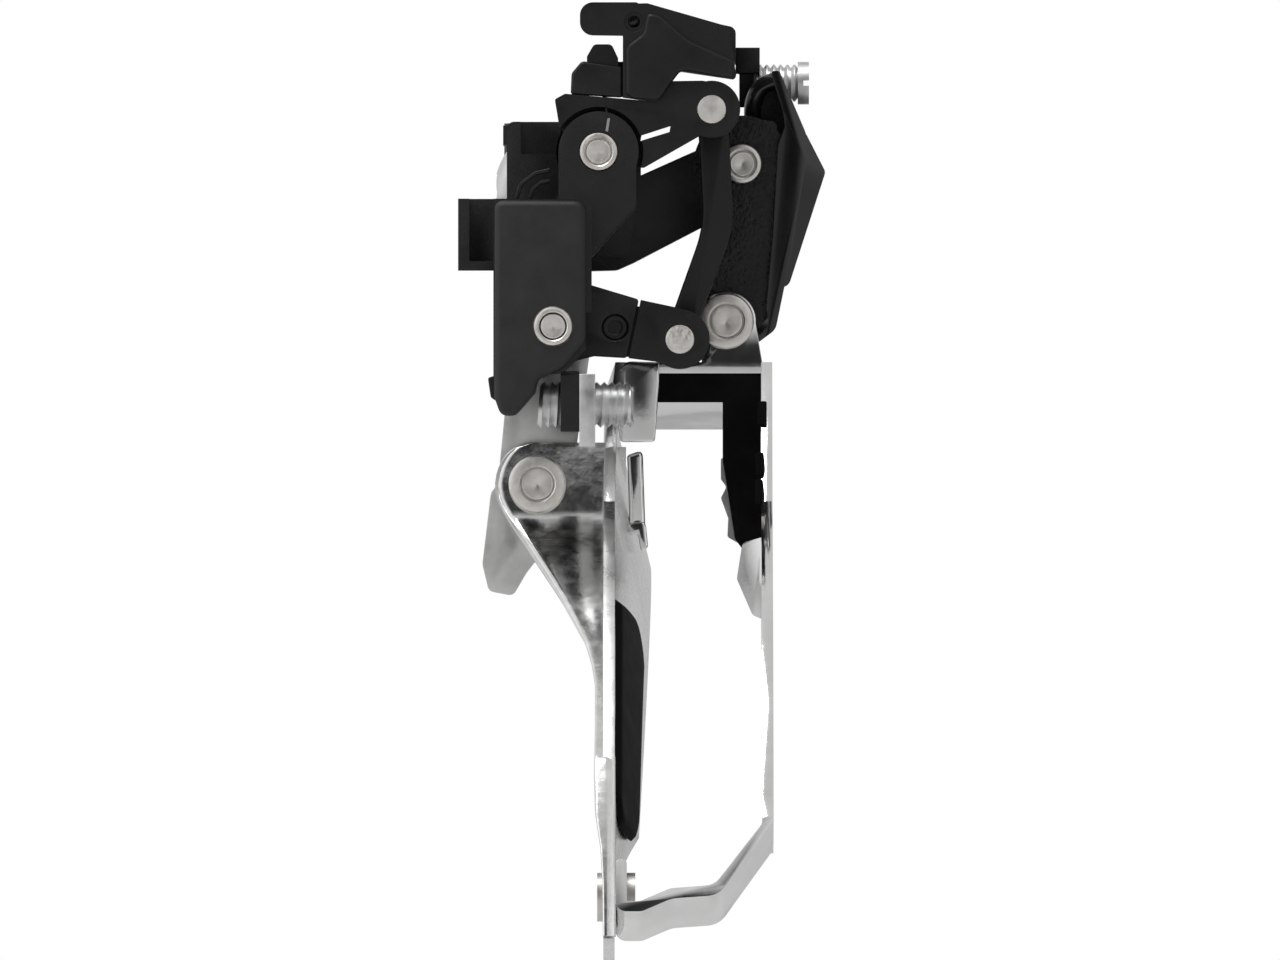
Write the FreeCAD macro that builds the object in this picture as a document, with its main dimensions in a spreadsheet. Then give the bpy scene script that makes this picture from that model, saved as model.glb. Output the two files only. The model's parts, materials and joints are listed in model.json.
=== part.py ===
"""Front derailleur: a parametric model in millimetres.

The frame: X points outboard, to the drive side, Y points forward and Z points up. The origin is
where the axis of the mounting bolt meets the mounting face. All link pins run along Y, so the
linkage moves in planes of X and Z, and each layer of it has its own stretch of Y.
"""
import FreeCAD, Part
import math
import os

import Sketcher
from FreeCAD import Placement, Rotation, Vector

# name, value, what it is
SIZES = [
    # the linkage, in its inboard position
    ("lever_pin_x", 9.86, "cable lever pin"),
    ("lever_pin_z", 4.34, "cable lever pin"),
    ("outer_pin_x", 25.27, "upper pin of the outer link"),
    ("outer_pin_z", 3.10, "upper pin of the outer link"),
    ("inner_pin_x", 4.98, "upper pin of the inner link"),
    ("inner_pin_z", -14.40, "upper pin of the inner link"),
    ("link_run", 1.70, "how far both links lean inboard over their length"),
    ("link_drop", 16.90, "height of both links between their pins"),
    ("lever_run", 12.13, "from the lever pin to the upper rod pin, along X"),
    ("lever_rise", 4.54, "from the lever pin to the upper rod pin, along Z"),
    ("arm_run", 13.59, "from the upper inner pin to the lower rod pin, along X"),
    ("arm_fall", 1.37, "from the upper inner pin to the lower rod pin, along Z"),
    # pins
    ("pin_radius", 1.50, "shank of the ring-faced pins"),
    ("pin_ring_radius", 2.12, "ring face of the bracket pins"),
    ("pin_ring_height", 0.70, "ring face of the bracket pins"),
    ("cage_ring_radius", 3.00, "ring face of the cage pins"),
    ("cage_ring_height", 1.00, "ring face of the cage pins"),
    ("pin_recess", 0.35, "how deep the core of a ring face lies"),
    ("rod_pin_radius", 1.55, "rod pins"),
    ("rod_pin_clip", 1.95, "retaining flange of the rod pins"),
    ("clip_height", 0.70, "retaining flange of the rod pins"),
    ("bush_wall", 0.60, "bushes on the pins"),
    ("running_gap", 0.10, "between faces that turn on each other"),
    ("bush_gap", 0.03, "radial gap of a running bush"),
    ("loop_gap", 0.47, "radial gap of the open pivot of the lever loop"),
    # layers along Y
    ("block_near", -17.0, "rear face of the front block"),
    ("block_depth", 4.5, "front block"),
    ("arm_depth", 3.4, "drive arm"),
    ("rod_depth", 3.1, "connecting rod"),
    ("ear_near", -14.0, "rear face of the lever ear"),
    ("ear_depth", 3.5, "lever ear"),
    ("hub_depth", 8.0, "hub of the cable lever"),
    ("lug_depth", 2.3, "lugs of the outer link"),
    ("fork_ear_depth", 3.0, "ears of the bracket round the return spring"),
    ("spring_room", 6.6, "between the ears round the return spring"),
    ("barrel_length", 14.8, "barrel of the inner link"),
    ("sheet", 1.2, "sheet of both cage plates"),
    # bracket
    ("face_radius", 4.3, "round end of the lever ear"),
    ("bolt_radius", 2.5, "mounting bolt thread"),
    ("bolt_length", 8.0, "mounting bolt thread below its face"),
    ("bolt_pitch", 0.8, "mounting bolt thread"),
    ("bolt_head_radius", 4.5, "mounting bolt head"),
    ("bolt_head_height", 1.4, "mounting bolt head"),
    ("seat_depth", 0.5, "seat of the bolt head below the mounting face"),
    ("casing_radius", 2.55, "seat of the cable casing"),
    ("casing_depth", 6.0, "seat of the cable casing"),
    ("cable_radius", 0.8, "hole for the inner cable"),
    ("support_radius", 2.5, "support screw"),
    ("support_pitch", 0.8, "support screw"),
    ("support_length", 10.4, "support screw"),
    # return spring
    ("wire_radius", 0.7, "return spring"),
    ("coil_radius", 3.0, "return spring, to the middle of the wire"),
    ("coil_turns", 3.5, "return spring"),
    # cable lever
    ("adjust_radius", 2.0, "adjusting screw"),
    ("adjust_length", 5.4, "adjusting screw thread"),
    ("adjust_pitch", 0.7, "adjusting screw thread"),
    ("adjust_head_radius", 2.3, "adjusting screw head"),
    ("adjust_head_height", 1.2, "adjusting screw head"),
    # cage
    ("ring_y", 23.4, "axis of the chainring"),
    ("ring_z", -106.2, "axis of the chainring"),
    ("cage_outside", 82.0, "outer edge of the cage plates, from the chainring axis"),
    ("cage_inside", 66.0, "inner edge of the cage plates, from the chainring axis"),
    ("inner_plate_x", 10.4, "rear edge of the inner plate"),
    ("inner_plate_lean", 0.24, "how much the inner plate leans outboard towards the chainring axis"),
    ("outer_plate_x", 28.5, "outboard face of the outer plate"),
    ("bridge_below", 4.4, "from the lower pin of the outer link down to the top of the front bridge"),
    ("bridge_fall", 0.196, "slope of the front bridge"),
    ("cage_front", 26.0, "front end of the cage plates"),
    ("tail_width", 7.6, "tail of the cage plates and the strap between them"),
    ("rivet_radius", 1.5, "tail rivet"),
    ("rivet_head_radius", 2.6, "tail rivet"),
]

document = FreeCAD.newDocument("front_derailleur")
sheet = document.addObject("Spreadsheet::Sheet", "sizes")
for row, (alias, number, meaning) in enumerate(SIZES, start=1):
    sheet.set("A%d" % row, alias)
    sheet.set("B%d" % row, str(number))
    sheet.setAlias("B%d" % row, alias)
    sheet.set("C%d" % row, meaning)
document.recompute()


class Sizes:
    """Reads the sheet: sizes.pin_radius is the number in the cell of that alias."""

    def __getattr__(self, alias):
        return float(sheet.get(alias))


sizes = Sizes()
parts = []

# ---------------------------------------------------------------- places worked out from the sizes
LEVER_PIN = (sizes.lever_pin_x, sizes.lever_pin_z)
OUTER_TOP = (sizes.outer_pin_x, sizes.outer_pin_z)
INNER_TOP = (sizes.inner_pin_x, sizes.inner_pin_z)
OUTER_LOW = (OUTER_TOP[0] - sizes.link_run, OUTER_TOP[1] - sizes.link_drop)
INNER_LOW = (INNER_TOP[0] - sizes.link_run, INNER_TOP[1] - sizes.link_drop)
ROD_TOP = (LEVER_PIN[0] + sizes.lever_run, LEVER_PIN[1] + sizes.lever_rise)
ROD_LOW = (INNER_TOP[0] + sizes.arm_run, INNER_TOP[1] - sizes.arm_fall)

GAP = sizes.running_gap
BLOCK_FAR = sizes.block_near + sizes.block_depth
ARM_NEAR = BLOCK_FAR + GAP
ARM_FAR = ARM_NEAR + sizes.arm_depth
ROD_NEAR = ARM_FAR + GAP
ROD_FAR = ROD_NEAR + sizes.rod_depth
LEVER_NEAR = sizes.ear_near + 0.5
LEVER_FAR = ROD_NEAR - GAP
EAR_FAR = sizes.ear_near + sizes.ear_depth
HUB_NEAR = EAR_FAR + GAP
HUB_FAR = HUB_NEAR + sizes.hub_depth
FAR_EAR = HUB_FAR + GAP
UPPER_RING_NEAR = ROD_FAR + 0.2
CAGE_EAR_NEAR = UPPER_RING_NEAR + sizes.cage_ring_height
CAGE_EAR_FAR = CAGE_EAR_NEAR + sizes.sheet
LUG_NEAR = CAGE_EAR_FAR + GAP
LUG_FAR = LUG_NEAR + sizes.lug_depth
FORK_NEAR = LUG_FAR + GAP
FORK_INSIDE = FORK_NEAR + sizes.fork_ear_depth
FORK_BACK = FORK_INSIDE + sizes.spring_room
FORK_FAR = FORK_BACK + sizes.fork_ear_depth
BACK_LUG_NEAR = FORK_FAR + GAP
BACK_LUG_FAR = BACK_LUG_NEAR + sizes.lug_depth
BARREL_NEAR = ARM_FAR + GAP
BARREL_FAR = BARREL_NEAR + sizes.barrel_length
BACK_EAR_FAR = BARREL_FAR + GAP + 4.0
INNER_EAR_FAR = BARREL_NEAR - GAP
INNER_EAR_NEAR = INNER_EAR_FAR - sizes.sheet
OUTER_INSIDE_X = sizes.outer_plate_x - sizes.sheet
BRIDGE_Z = OUTER_LOW[1] - sizes.bridge_below
SUPPORT_Y = -14.2
SUPPORT_Z = INNER_TOP[1] - 8.4
SUPPORT_TIP_X = 13.7
CASING_X = 3.6
HOLE_MARGIN = 1.0

# how far the land of the mounting face stands proud of the mounting block
LAND_HEIGHT = 0.4
# angles about the chainring axis, in degrees behind straight up
STRAP_ANGLE = 61.4
LEAN_END = 58.5
UPRIGHT_START = 63.5
FLANGE_END = 57.0


# ---------------------------------------------------------------- helpers
class Length:
    """A length with its number now and the sheet expression that gives it."""

    def __init__(self, number, text):
        self.number = number
        self.text = text

    def __add__(self, other):
        return Length(self.number + other.number, "(%s + %s)" % (self.text, other.text))

    def __sub__(self, other):
        return Length(self.number - other.number, "(%s - %s)" % (self.text, other.text))


def cell(alias):
    """The length in the cell of that alias."""
    return Length(getattr(sizes, alias), "sizes." + alias)


def fixed(number):
    """A length that stays as it is."""
    return Length(number, repr(number))


ZERO = fixed(0.0)


def outline(points):
    """A closed wire in the plane y = 0 through (x, z) points; a third number rounds that corner."""
    corners = [Vector(p[0], 0, p[1]) for p in points]
    count = len(corners)
    ends = []
    for index, corner in enumerate(corners):
        radius = points[index][2] if len(points[index]) > 2 else 0.0
        back = (corners[index - 1] - corner)
        ahead = (corners[(index + 1) % count] - corner)
        if radius <= 0:
            ends.append((corner, None, corner))
            continue
        half = back.getAngle(ahead) / 2
        reach = min(radius / math.tan(half), 0.49 * back.Length, 0.49 * ahead.Length)
        radius = reach * math.tan(half)
        back.normalize()
        ahead.normalize()
        middle_way = (back + ahead).normalize()
        centre = corner + middle_way * (radius / math.sin(half))
        ends.append((corner + back * reach, centre - middle_way * radius, corner + ahead * reach))
    edges = []
    for index, (start, middle, end) in enumerate(ends):
        if middle is not None:
            edges.append(Part.Arc(start, middle, end).toShape())
        following = ends[(index + 1) % count][0]
        if (following - end).Length > 1e-6:
            edges.append(Part.LineSegment(end, following).toShape())
    return Part.Wire(edges)


def slab(points, near, far):
    """A plate of that outline in X and Z, from y = near to y = far."""
    face = Part.Face(outline(points))
    face.translate(Vector(0, near, 0))
    return face.extrude(Vector(0, far - near, 0))


def side_slab(points, low, high):
    """A plate of an outline in Y and Z, from x = low to x = high."""
    face = Part.Face(outline(points))
    face.rotate(Vector(0, 0, 0), Vector(0, 0, 1), 90)
    face.translate(Vector(low, 0, 0))
    return face.extrude(Vector(high - low, 0, 0))


def box(low, high):
    """A box between two corners."""
    return Part.makeBox(high[0] - low[0], high[1] - low[1], high[2] - low[2], Vector(*low))


def rod_y(place, radius, near, far):
    """A cylinder along Y at an (x, z) place."""
    return Part.makeCylinder(radius, far - near, Vector(place[0], near, place[1]), Vector(0, 1, 0))


def rod_x(y, z, radius, start, end):
    """A cylinder along X."""
    return Part.makeCylinder(radius, end - start, Vector(start, y, z), Vector(1, 0, 0))


def joined(shapes):
    """One solid out of shapes that meet."""
    return shapes[0].multiFuse(shapes[1:]).removeSplitter()


def shaped(label, shape):
    """Keep a shape as a sub-part."""
    feature = document.addObject("Part::Feature", label)
    feature.Label = label
    feature.Shape = shape
    parts.append(feature)
    return feature


def plane_of(body, role):
    """The origin plane of a body by its role."""
    return next(item for item in body.Origin.OriginFeatures if item.Role == role)


def turned(label, profile, place):
    """A turned piece on an axis along Y through place = (x, y, z).

    The profile is a list of (radius, height) pairs of expressions on the sheet, with the numbers
    that they have now; every corner of the sketch is tied to its pair.
    """
    body = document.addObject("PartDesign::Body", label)
    body.Label = label
    sketch = body.newObject("Sketcher::SketchObject", label + "_profile")
    sketch.AttachmentSupport = [(plane_of(body, "XY_Plane"), "")]
    sketch.MapMode = "FlatFace"
    corners = [Vector(radius.number, height.number, 0) for radius, height in profile]
    count = len(corners)
    for index in range(count):
        sketch.addGeometry(Part.LineSegment(corners[index], corners[(index + 1) % count]), False)
    add = sketch.addConstraint
    for index in range(count):
        add(Sketcher.Constraint("Coincident", index, 2, (index + 1) % count, 1))
    for index, (radius, height) in enumerate(profile):
        across = add(Sketcher.Constraint("DistanceX", -1, 1, index, 1, radius.number))
        along = add(Sketcher.Constraint("DistanceY", -1, 1, index, 1, height.number))
        sketch.setExpression("Constraints[%d]" % across, radius.text)
        sketch.setExpression("Constraints[%d]" % along, height.text)
    revolve = body.newObject("PartDesign::Revolution", label + "_turned")
    revolve.Profile = sketch
    revolve.ReferenceAxis = (sketch, ["V_Axis"])
    revolve.Angle = 360
    body.Placement = Placement(Vector(*place), Rotation())
    parts.append(body)
    return body


def ring_pin(label, place, near, far, ring, height):
    """A steel pin with a ring face, a recessed core and a plain shank up to y = far."""
    shank = cell("pin_radius")
    face = cell(ring)
    top = cell(height)
    recess = cell("pin_recess")
    length = fixed(far - near)
    profile = [(ZERO, recess), (shank, recess), (shank, ZERO), (face, ZERO), (face, top),
               (shank, top), (shank, length), (ZERO, length)]
    return turned(label, profile, (place[0], near, place[1]))


def bush(label, place, near, far):
    """A thin bush pressed into an eye, running on a pin."""
    inside = cell("pin_radius") + cell("bush_gap")
    outside = cell("pin_radius") + cell("bush_wall")
    length = fixed(far - near)
    profile = [(inside, ZERO), (outside, ZERO), (outside, length), (inside, length)]
    return turned(label, profile, (place[0], near, place[1]))


BUSH_BORE = sizes.pin_radius + sizes.bush_wall


def eye(place, near, far):
    """What is cut out of a link for its bush."""
    return rod_y(place, BUSH_BORE, near - HOLE_MARGIN, far + HOLE_MARGIN)


def pin_hole(place, near, far):
    """What is cut out of a plate that a pin is pressed into."""
    return rod_y(place, sizes.pin_radius, near - HOLE_MARGIN, far + HOLE_MARGIN)


def ridged_x(y, z, radius, start, end, pitch):
    """A screw along X: a core with one ridge for each turn of its thread."""
    root = radius - 0.54 * pitch
    turns = max(1, int((end - start) / pitch))
    step = (end - start) / turns
    points = [Vector(start, 0, 0), Vector(start, root, 0)]
    for turn in range(turns):
        at = start + turn * step
        points.append(Vector(at + 0.40 * step, radius, 0))
        points.append(Vector(at + 0.60 * step, radius, 0))
        points.append(Vector(at + step, root, 0))
    points += [Vector(end, 0, 0), Vector(start, 0, 0)]
    thread = Part.Face(Part.makePolygon(points)).revolve(Vector(0, 0, 0), Vector(1, 0, 0), 360)
    thread.translate(Vector(0, y, z))
    return thread


# ---------------------------------------------------------------- bracket
def make_bracket():
    """The casting on the frame: front block, lever ears, mount block, side lug and the long arm."""
    dx, dz = LEVER_PIN
    ax, az = INNER_TOP
    ox, oz = OUTER_TOP
    near = sizes.block_near
    block = slab([(-1.4, -1.8, 0.5), (8.5, -1.8, 1.0), (8.5, az - 2.4, 0.4), (ax + 1.2, az - 5.0, 2.0),
                  (3.4, az - 5.3), (3.1, -19.6), (1.2, -24.0, 1.2), (-1.4, -21.8, 1.0)],
                 near, BLOCK_FAR)
    crown = slab([(-1.4, -0.8, 0.6), (9.1, -0.8, 1.0), (9.1, az + 1.5), (-1.4, az + 1.5)],
                 near + 0.9, BLOCK_FAR)
    roof = box((0.0, BLOCK_FAR - 0.5, -7.0), (9.1, BACK_EAR_FAR, -0.8))
    back_ear = slab([(0.0, -0.8), (9.1, -0.8), (9.1, az, 4.0), (ax + 2.5, az - 4.6, 3.0),
                     (ax - 2.5, az - 4.6, 3.0), (0.0, az, 4.0)], BARREL_FAR + GAP, BACK_EAR_FAR)
    rear_ear = slab([(dx - 4.3, dz + 1.0, 0.8), (dx - 4.3, -1.0), (5.2, -6.4), (9.2, -6.4, 0.5),
                     (13.9, -1.5, 0.8), (13.9, dz + 1.0)], sizes.ear_near, EAR_FAR)
    rear_ear = rear_ear.fuse(rod_y(LEVER_PIN, sizes.face_radius, sizes.ear_near, EAR_FAR))
    saddle_top = dz - sizes.face_radius - 0.4
    saddle = slab([(5.2, saddle_top), (5.2, -6.9), (9.2, -6.9), (13.9, -1.9), (13.9, saddle_top)],
                  EAR_FAR - 0.5, FAR_EAR + 0.5)
    far_ear = slab([(5.6, 8.0, 1.5), (5.6, -6.9), (13.0, -6.9), (14.4, 0.8), (14.4, dz + 1.0, 2.0),
                    (12.5, 8.4, 2.0)], FAR_EAR, FORK_BACK)
    mount = slab([(0.0, 7.6, 0.8), (5.8, 7.6), (5.8, -0.9), (0.0, -0.9)], -7.0, FORK_BACK)
    land = box((-LAND_HEIGHT, -6.0, 5.1), (0.1, FORK_BACK - 1.0, 7.2))
    pocket = box((1.5, -8.0, 4.1), (5.7, -5.4, 9.0))
    lug = box((-5.2, ARM_NEAR, -8.4), (-1.3, -7.2, -0.7))
    lug_hollow = box((-4.0, ARM_NEAR - 1, -7.4), (-1.4, -8.6, 0.5))
    lug_root = box((-1.5, ARM_NEAR, -8.4), (0.6, -7.2, -0.7))
    arm = slab([(8.0, -0.8), (8.0, -8.4), (11.8, -8.3, 1.5), (13.6, -7.5, 1.5), (ox - 3.4, oz - 6.3, 1.0),
                (ox - 3.0, oz + 0.5), (ox - 4.6, oz + 1.6, 1.0), (14.4, 1.9), (12.0, 1.9)],
               FORK_NEAR, FORK_FAR)
    arm_room = rod_y(OUTER_TOP, 5.3, FORK_INSIDE, FORK_BACK)
    fork = rod_y(OUTER_TOP, 3.5, FORK_NEAR, FORK_FAR)
    neck = slab([(ox - 4.8, oz + 1.8), (ox - 4.8, oz - 5.6), (ox - 3.0, oz - 4.6, 1.0), (ox, oz - 3.5),
                 (ox, oz + 3.4), (ox - 3.0, oz + 2.6, 1.0)], FORK_NEAR, FORK_FAR)
    boss_y = BACK_EAR_FAR + 3.4
    boss_low = -0.2
    boss_height = 7.8
    boss_foot = Vector(CASING_X, boss_y, boss_low)
    boss = Part.makeCylinder(sizes.casing_radius + 1.4, boss_height, boss_foot)
    web = box((CASING_X - 2.4, FORK_BACK - 0.5, boss_low), (CASING_X + 2.4, boss_y, boss_low + boss_height))
    seat = Part.makeCylinder(sizes.casing_radius, sizes.casing_depth, boss_foot)
    cable_way = Part.makeCylinder(sizes.cable_radius, boss_height + 4, boss_foot - Vector(0, 0, 1))
    casting = joined([block, crown, roof, back_ear, rear_ear, saddle, far_ear, mount, land, lug, lug_root,
                      arm, fork, neck, boss, web])
    cuts = [pocket, lug_hollow, arm_room, seat, cable_way,
            pin_hole(LEVER_PIN, sizes.ear_near, FORK_FAR), pin_hole(OUTER_TOP, FORK_NEAR, FORK_FAR),
            pin_hole(INNER_TOP, near, BACK_EAR_FAR),
            rod_y(LEVER_PIN, sizes.pin_ring_radius, sizes.ear_near - 1, sizes.ear_near + 0.5),
            rod_y(LEVER_PIN, sizes.face_radius + 0.25, EAR_FAR, FAR_EAR),
            rod_y(INNER_TOP, sizes.pin_ring_radius, near - 1, near + 0.5),
            rod_x(0, 0, sizes.bolt_head_radius + 0.4, -3, sizes.seat_depth),
            rod_x(0, 0, sizes.bolt_radius, -1, sizes.bolt_length)]
    for cut in cuts:
        casting = casting.cut(cut)
    shaped("bracket", casting)


def make_bracket_fittings():
    """Mounting bolt and washer, the three pins, and the support screw with its tab and nut plate."""
    head = sizes.bolt_head_radius
    height = sizes.bolt_head_height
    washer_thickness = 0.5
    seat = sizes.seat_depth
    dome_radius = (head ** 2 + height ** 2) / (2 * height)
    dome = Part.makeSphere(dome_radius, Vector(seat - washer_thickness - height + dome_radius, 0, 0))
    low = seat - washer_thickness - height
    head_solid = rod_x(0, 0, head, low, seat - washer_thickness).common(dome)
    key_radius = 2.31
    key_turns = [math.radians(60 * corner) for corner in range(7)]
    key_wire = Part.makePolygon([Vector(0, key_radius * math.cos(turn), key_radius * math.sin(turn))
                                 for turn in key_turns])
    hexagon = Part.Face(key_wire).extrude(Vector(2.2, 0, 0))
    hexagon.translate(Vector(low - 0.5, 0, 0))
    shank = ridged_x(0, 0, sizes.bolt_radius, seat - washer_thickness - 0.2, sizes.bolt_length,
                     sizes.bolt_pitch)
    shaped("mount_bolt", head_solid.fuse(shank).cut(hexagon))
    washer = rod_x(0, 0, head + 0.2, seat - washer_thickness, seat)
    shaped("mount_washer", washer.cut(rod_x(0, 0, sizes.bolt_radius + 0.02, -2, 2)))

    ring_pin("lever_pin", LEVER_PIN, sizes.ear_near + 0.5 - sizes.pin_ring_height, FORK_INSIDE,
             "pin_ring_radius", "pin_ring_height")
    ring_pin("inner_link_upper_pin", INNER_TOP, sizes.block_near + 0.5 - sizes.pin_ring_height,
             BACK_EAR_FAR, "pin_ring_radius", "pin_ring_height")
    ring_pin("outer_link_upper_pin", OUTER_TOP, LUG_NEAR - GAP - sizes.pin_ring_height,
             BACK_LUG_FAR, "pin_ring_radius", "pin_ring_height")

    tab_far = SUPPORT_Y + 2.85
    tab_low = 5.8
    tab_high = 7.8
    screw = ridged_x(SUPPORT_Y, SUPPORT_Z, sizes.support_radius, SUPPORT_TIP_X - sizes.support_length,
                     SUPPORT_TIP_X, sizes.support_pitch)
    socket = rod_x(SUPPORT_Y, SUPPORT_Z, 1.3, SUPPORT_TIP_X - 2.5, SUPPORT_TIP_X + 0.5)
    shaped("support_screw", screw.cut(socket))
    hole = rod_x(SUPPORT_Y, SUPPORT_Z, sizes.support_radius, 0, 20)
    tab = box((tab_low, -17.0, SUPPORT_Z - 2.9), (tab_high, tab_far, SUPPORT_Z + 3.2))
    hanger = box((tab_low, -16.6, SUPPORT_Z + 2.8), (tab_high, BLOCK_FAR, INNER_TOP[1] - 4.8))
    tab = tab.fuse(hanger)
    bracket_shape = parts[0].Shape
    shaped("thread_tab", tab.cut(hole).cut(bracket_shape))
    nut = box((tab_high, -17.2, SUPPORT_Z - 4.5), (tab_high + 1.7, tab_far, SUPPORT_Z + 3.3))
    shaped("nut_plate", nut.cut(hole))


# ---------------------------------------------------------------- cable lever
def make_lever():
    """Cable lever with its hub, horn and slit."""
    dx, dz = LEVER_PIN
    cx, cz = ROD_TOP
    hub = rod_y(LEVER_PIN, sizes.face_radius - 0.05, HUB_NEAR, HUB_FAR)
    plate = slab([(dx - 4.7, dz + 5.6, 0.3), (dx - 3.6, dz + 6.2, 0.4), (dx + 5.6, dz + 5.4, 1.0),
                  (cx - 5.0, cz + 3.0, 1.0), (cx - 1.0, cz + 3.06), (cx + 1.5, cz + 2.6),
                  (cx + 2.0, cz - 2.3), (cx - 1.2, cz - 2.8), (dx + 4.9, dz - 1.7), (dx, dz - 2.0),
                  (dx - 4.2, dz + 2.6)], LEVER_NEAR, LEVER_FAR)
    end = rod_y(ROD_TOP, 3.06, LEVER_NEAR, LEVER_FAR)
    ear_room = rod_y(LEVER_PIN, sizes.face_radius + 0.5, LEVER_NEAR - 1, HUB_NEAR)
    below = box((dx - 6, LEVER_NEAR - 1, dz - 12), (dx + 4.4, HUB_NEAR, dz + 0.6))
    slit = slab([(dx + 4.6, dz + 1.75), (dx + 7.7, dz + 2.75), (dx + 7.6, dz + 2.1),
                 (dx + 4.5, dz + 1.15)], LEVER_NEAR - 1, LEVER_FAR + 1)
    lever = joined([hub, plate, end])
    for cut in (ear_room, below, slit, eye(LEVER_PIN, HUB_NEAR, HUB_FAR),
                rod_y(ROD_TOP, sizes.rod_pin_radius, LEVER_NEAR - 1, LEVER_FAR + 1)):
        lever = lever.cut(cut)
    shaped("cable_lever", lever)
    bush("lever_bush", LEVER_PIN, HUB_NEAR, HUB_FAR)


def make_cap():
    """Cable clamp cap over the lever, its bolt, the screw carrier and the adjusting screw."""
    dx, dz = LEVER_PIN
    cx, cz = ROD_TOP
    cap_far = -4.0
    rear = slab([(dx + 2.6, dz + 15.8), (dx + 5.2, dz + 15.9, 0.8), (dx + 13.9, dz + 13.4, 0.8),
                 (cx + 2.7, cz + 3.2, 0.4), (cx - 3.4, cz + 4.1, 0.4), (dx + 6.2, dz + 5.35, 0.5),
                 (dx + 2.6, dz + 5.85)], LEVER_NEAR - 0.3, cap_far)
    finger = slab([(dx - 2.0, dz + 16.0, 1.4), (dx + 4.5, dz + 16.0, 0.6), (dx + 4.5, dz + 12.4),
                   (dx - 2.0, dz + 12.5, 1.4)], LEVER_NEAR - 0.3, -9.6)
    deck = slab([(dx + 9.0, dz + 14.6, 0.5), (cx + 2.6, dz + 13.4, 0.8), (cx + 2.6, cz + 5.0),
                 (dx + 9.0, cz + 5.0)], cap_far - 0.5, 8.6)
    cap = joined([rear, finger, deck])
    hole = rod_y((dx + 3.8, dz + 13.9), 0.65, -20, 12)
    rim = rod_y((dx + 3.8, dz + 13.9), 1.1, LEVER_NEAR - 0.4, LEVER_NEAR)
    cap = cap.cut(hole).cut(rim)
    shaped("clamp_cap", cap.cut(document.getObject("cable_lever").Shape))

    body = slab([(dx - 3.0, dz + 6.15, 0.3), (dx - 2.9, dz + 8.4, 0.8), (dx - 1.8, dz + 9.7, 0.6),
                 (dx + 2.55, dz + 9.1), (dx + 2.55, dz + 5.8)], LEVER_NEAR, LEVER_FAR)
    shaped("clamp_block", body.cut(document.getObject("cable_lever").Shape))
    knob = slab([(dx - 1.25, dz + 9.2), (dx - 1.25, dz + 10.2, 0.2), (dx - 0.5, dz + 11.5, 0.6),
                 (dx + 1.4, dz + 11.5, 0.6), (dx + 2.1, dz + 10.0, 0.2), (dx + 2.1, dz + 9.2)],
                LEVER_NEAR + 0.4, LEVER_FAR - 0.4)
    shaped("clamp_bolt", knob.cut(document.getObject("clamp_block").Shape))

    screw_y = 6.4
    screw_z = cz + 3.0
    carrier = box((cx + 2.6, 3.6, cz + 4.0), (cx + 5.2, 8.6, cz + 6.8))
    hanger = box((cx + 3.0, 3.9, cz + 0.4), (cx + 4.6, 8.8, cz + 5.0))
    thread_hole = rod_x(screw_y, screw_z, sizes.adjust_radius, cx - 5, cx + 15)
    shaped("screw_carrier", carrier.fuse(hanger).cut(thread_hole))
    start = cx + 3.4
    end = start + sizes.adjust_length + 0.5
    head = rod_x(screw_y, screw_z, sizes.adjust_head_radius, end, end + sizes.adjust_head_height)
    screw = ridged_x(screw_y, screw_z, sizes.adjust_radius, start, end, sizes.adjust_pitch)
    slot = box((end + 0.6, screw_y - 3, screw_z - 0.3), (end + 3, screw_y + 3, screw_z + 0.3))
    shaped("adjusting_screw", screw.fuse(head).cut(slot))


def rod_pin(label, place, near, far):
    """A plain pin with a retaining flange beyond the rod."""
    radius = cell("rod_pin_radius")
    flange = cell("rod_pin_clip")
    length = fixed(far - near)
    profile = [(ZERO, ZERO), (radius, ZERO), (radius, length), (flange, length),
               (flange, length + cell("clip_height")), (ZERO, length + cell("clip_height"))]
    return turned(label, profile, (place[0], near, place[1]))


# ---------------------------------------------------------------- rod
def make_rod():
    """The bent rod from the lever to the drive arm: eyes at both ends and a bow outboard."""
    cx, cz = ROD_TOP
    bx, bz = ROD_LOW
    outside = slab([(cx - 1.55, cz), (cx - 0.9, cz - 12.6, 12.0), (bx - 1.2, bz + 1.6),
                    (bx + 1.5, bz + 0.6), (cx + 2.4, cz - 12.7, 12.0), (cx + 1.7, cz)],
                   ROD_NEAR, ROD_FAR)
    top_eye = rod_y(ROD_TOP, 2.75, ROD_NEAR, ROD_FAR)
    low_eye = rod_y(ROD_LOW, 2.25, ROD_NEAR, ROD_FAR)
    rod = joined([outside, top_eye, low_eye])
    rod = rod.cut(rod_y(ROD_TOP, sizes.rod_pin_radius + sizes.loop_gap, ROD_NEAR - 1, ROD_FAR + 1))
    rod = rod.cut(rod_y(ROD_LOW, sizes.rod_pin_radius + sizes.bush_gap, ROD_NEAR - 1, ROD_FAR + 1))
    shaped("connecting_rod", rod)


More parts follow.
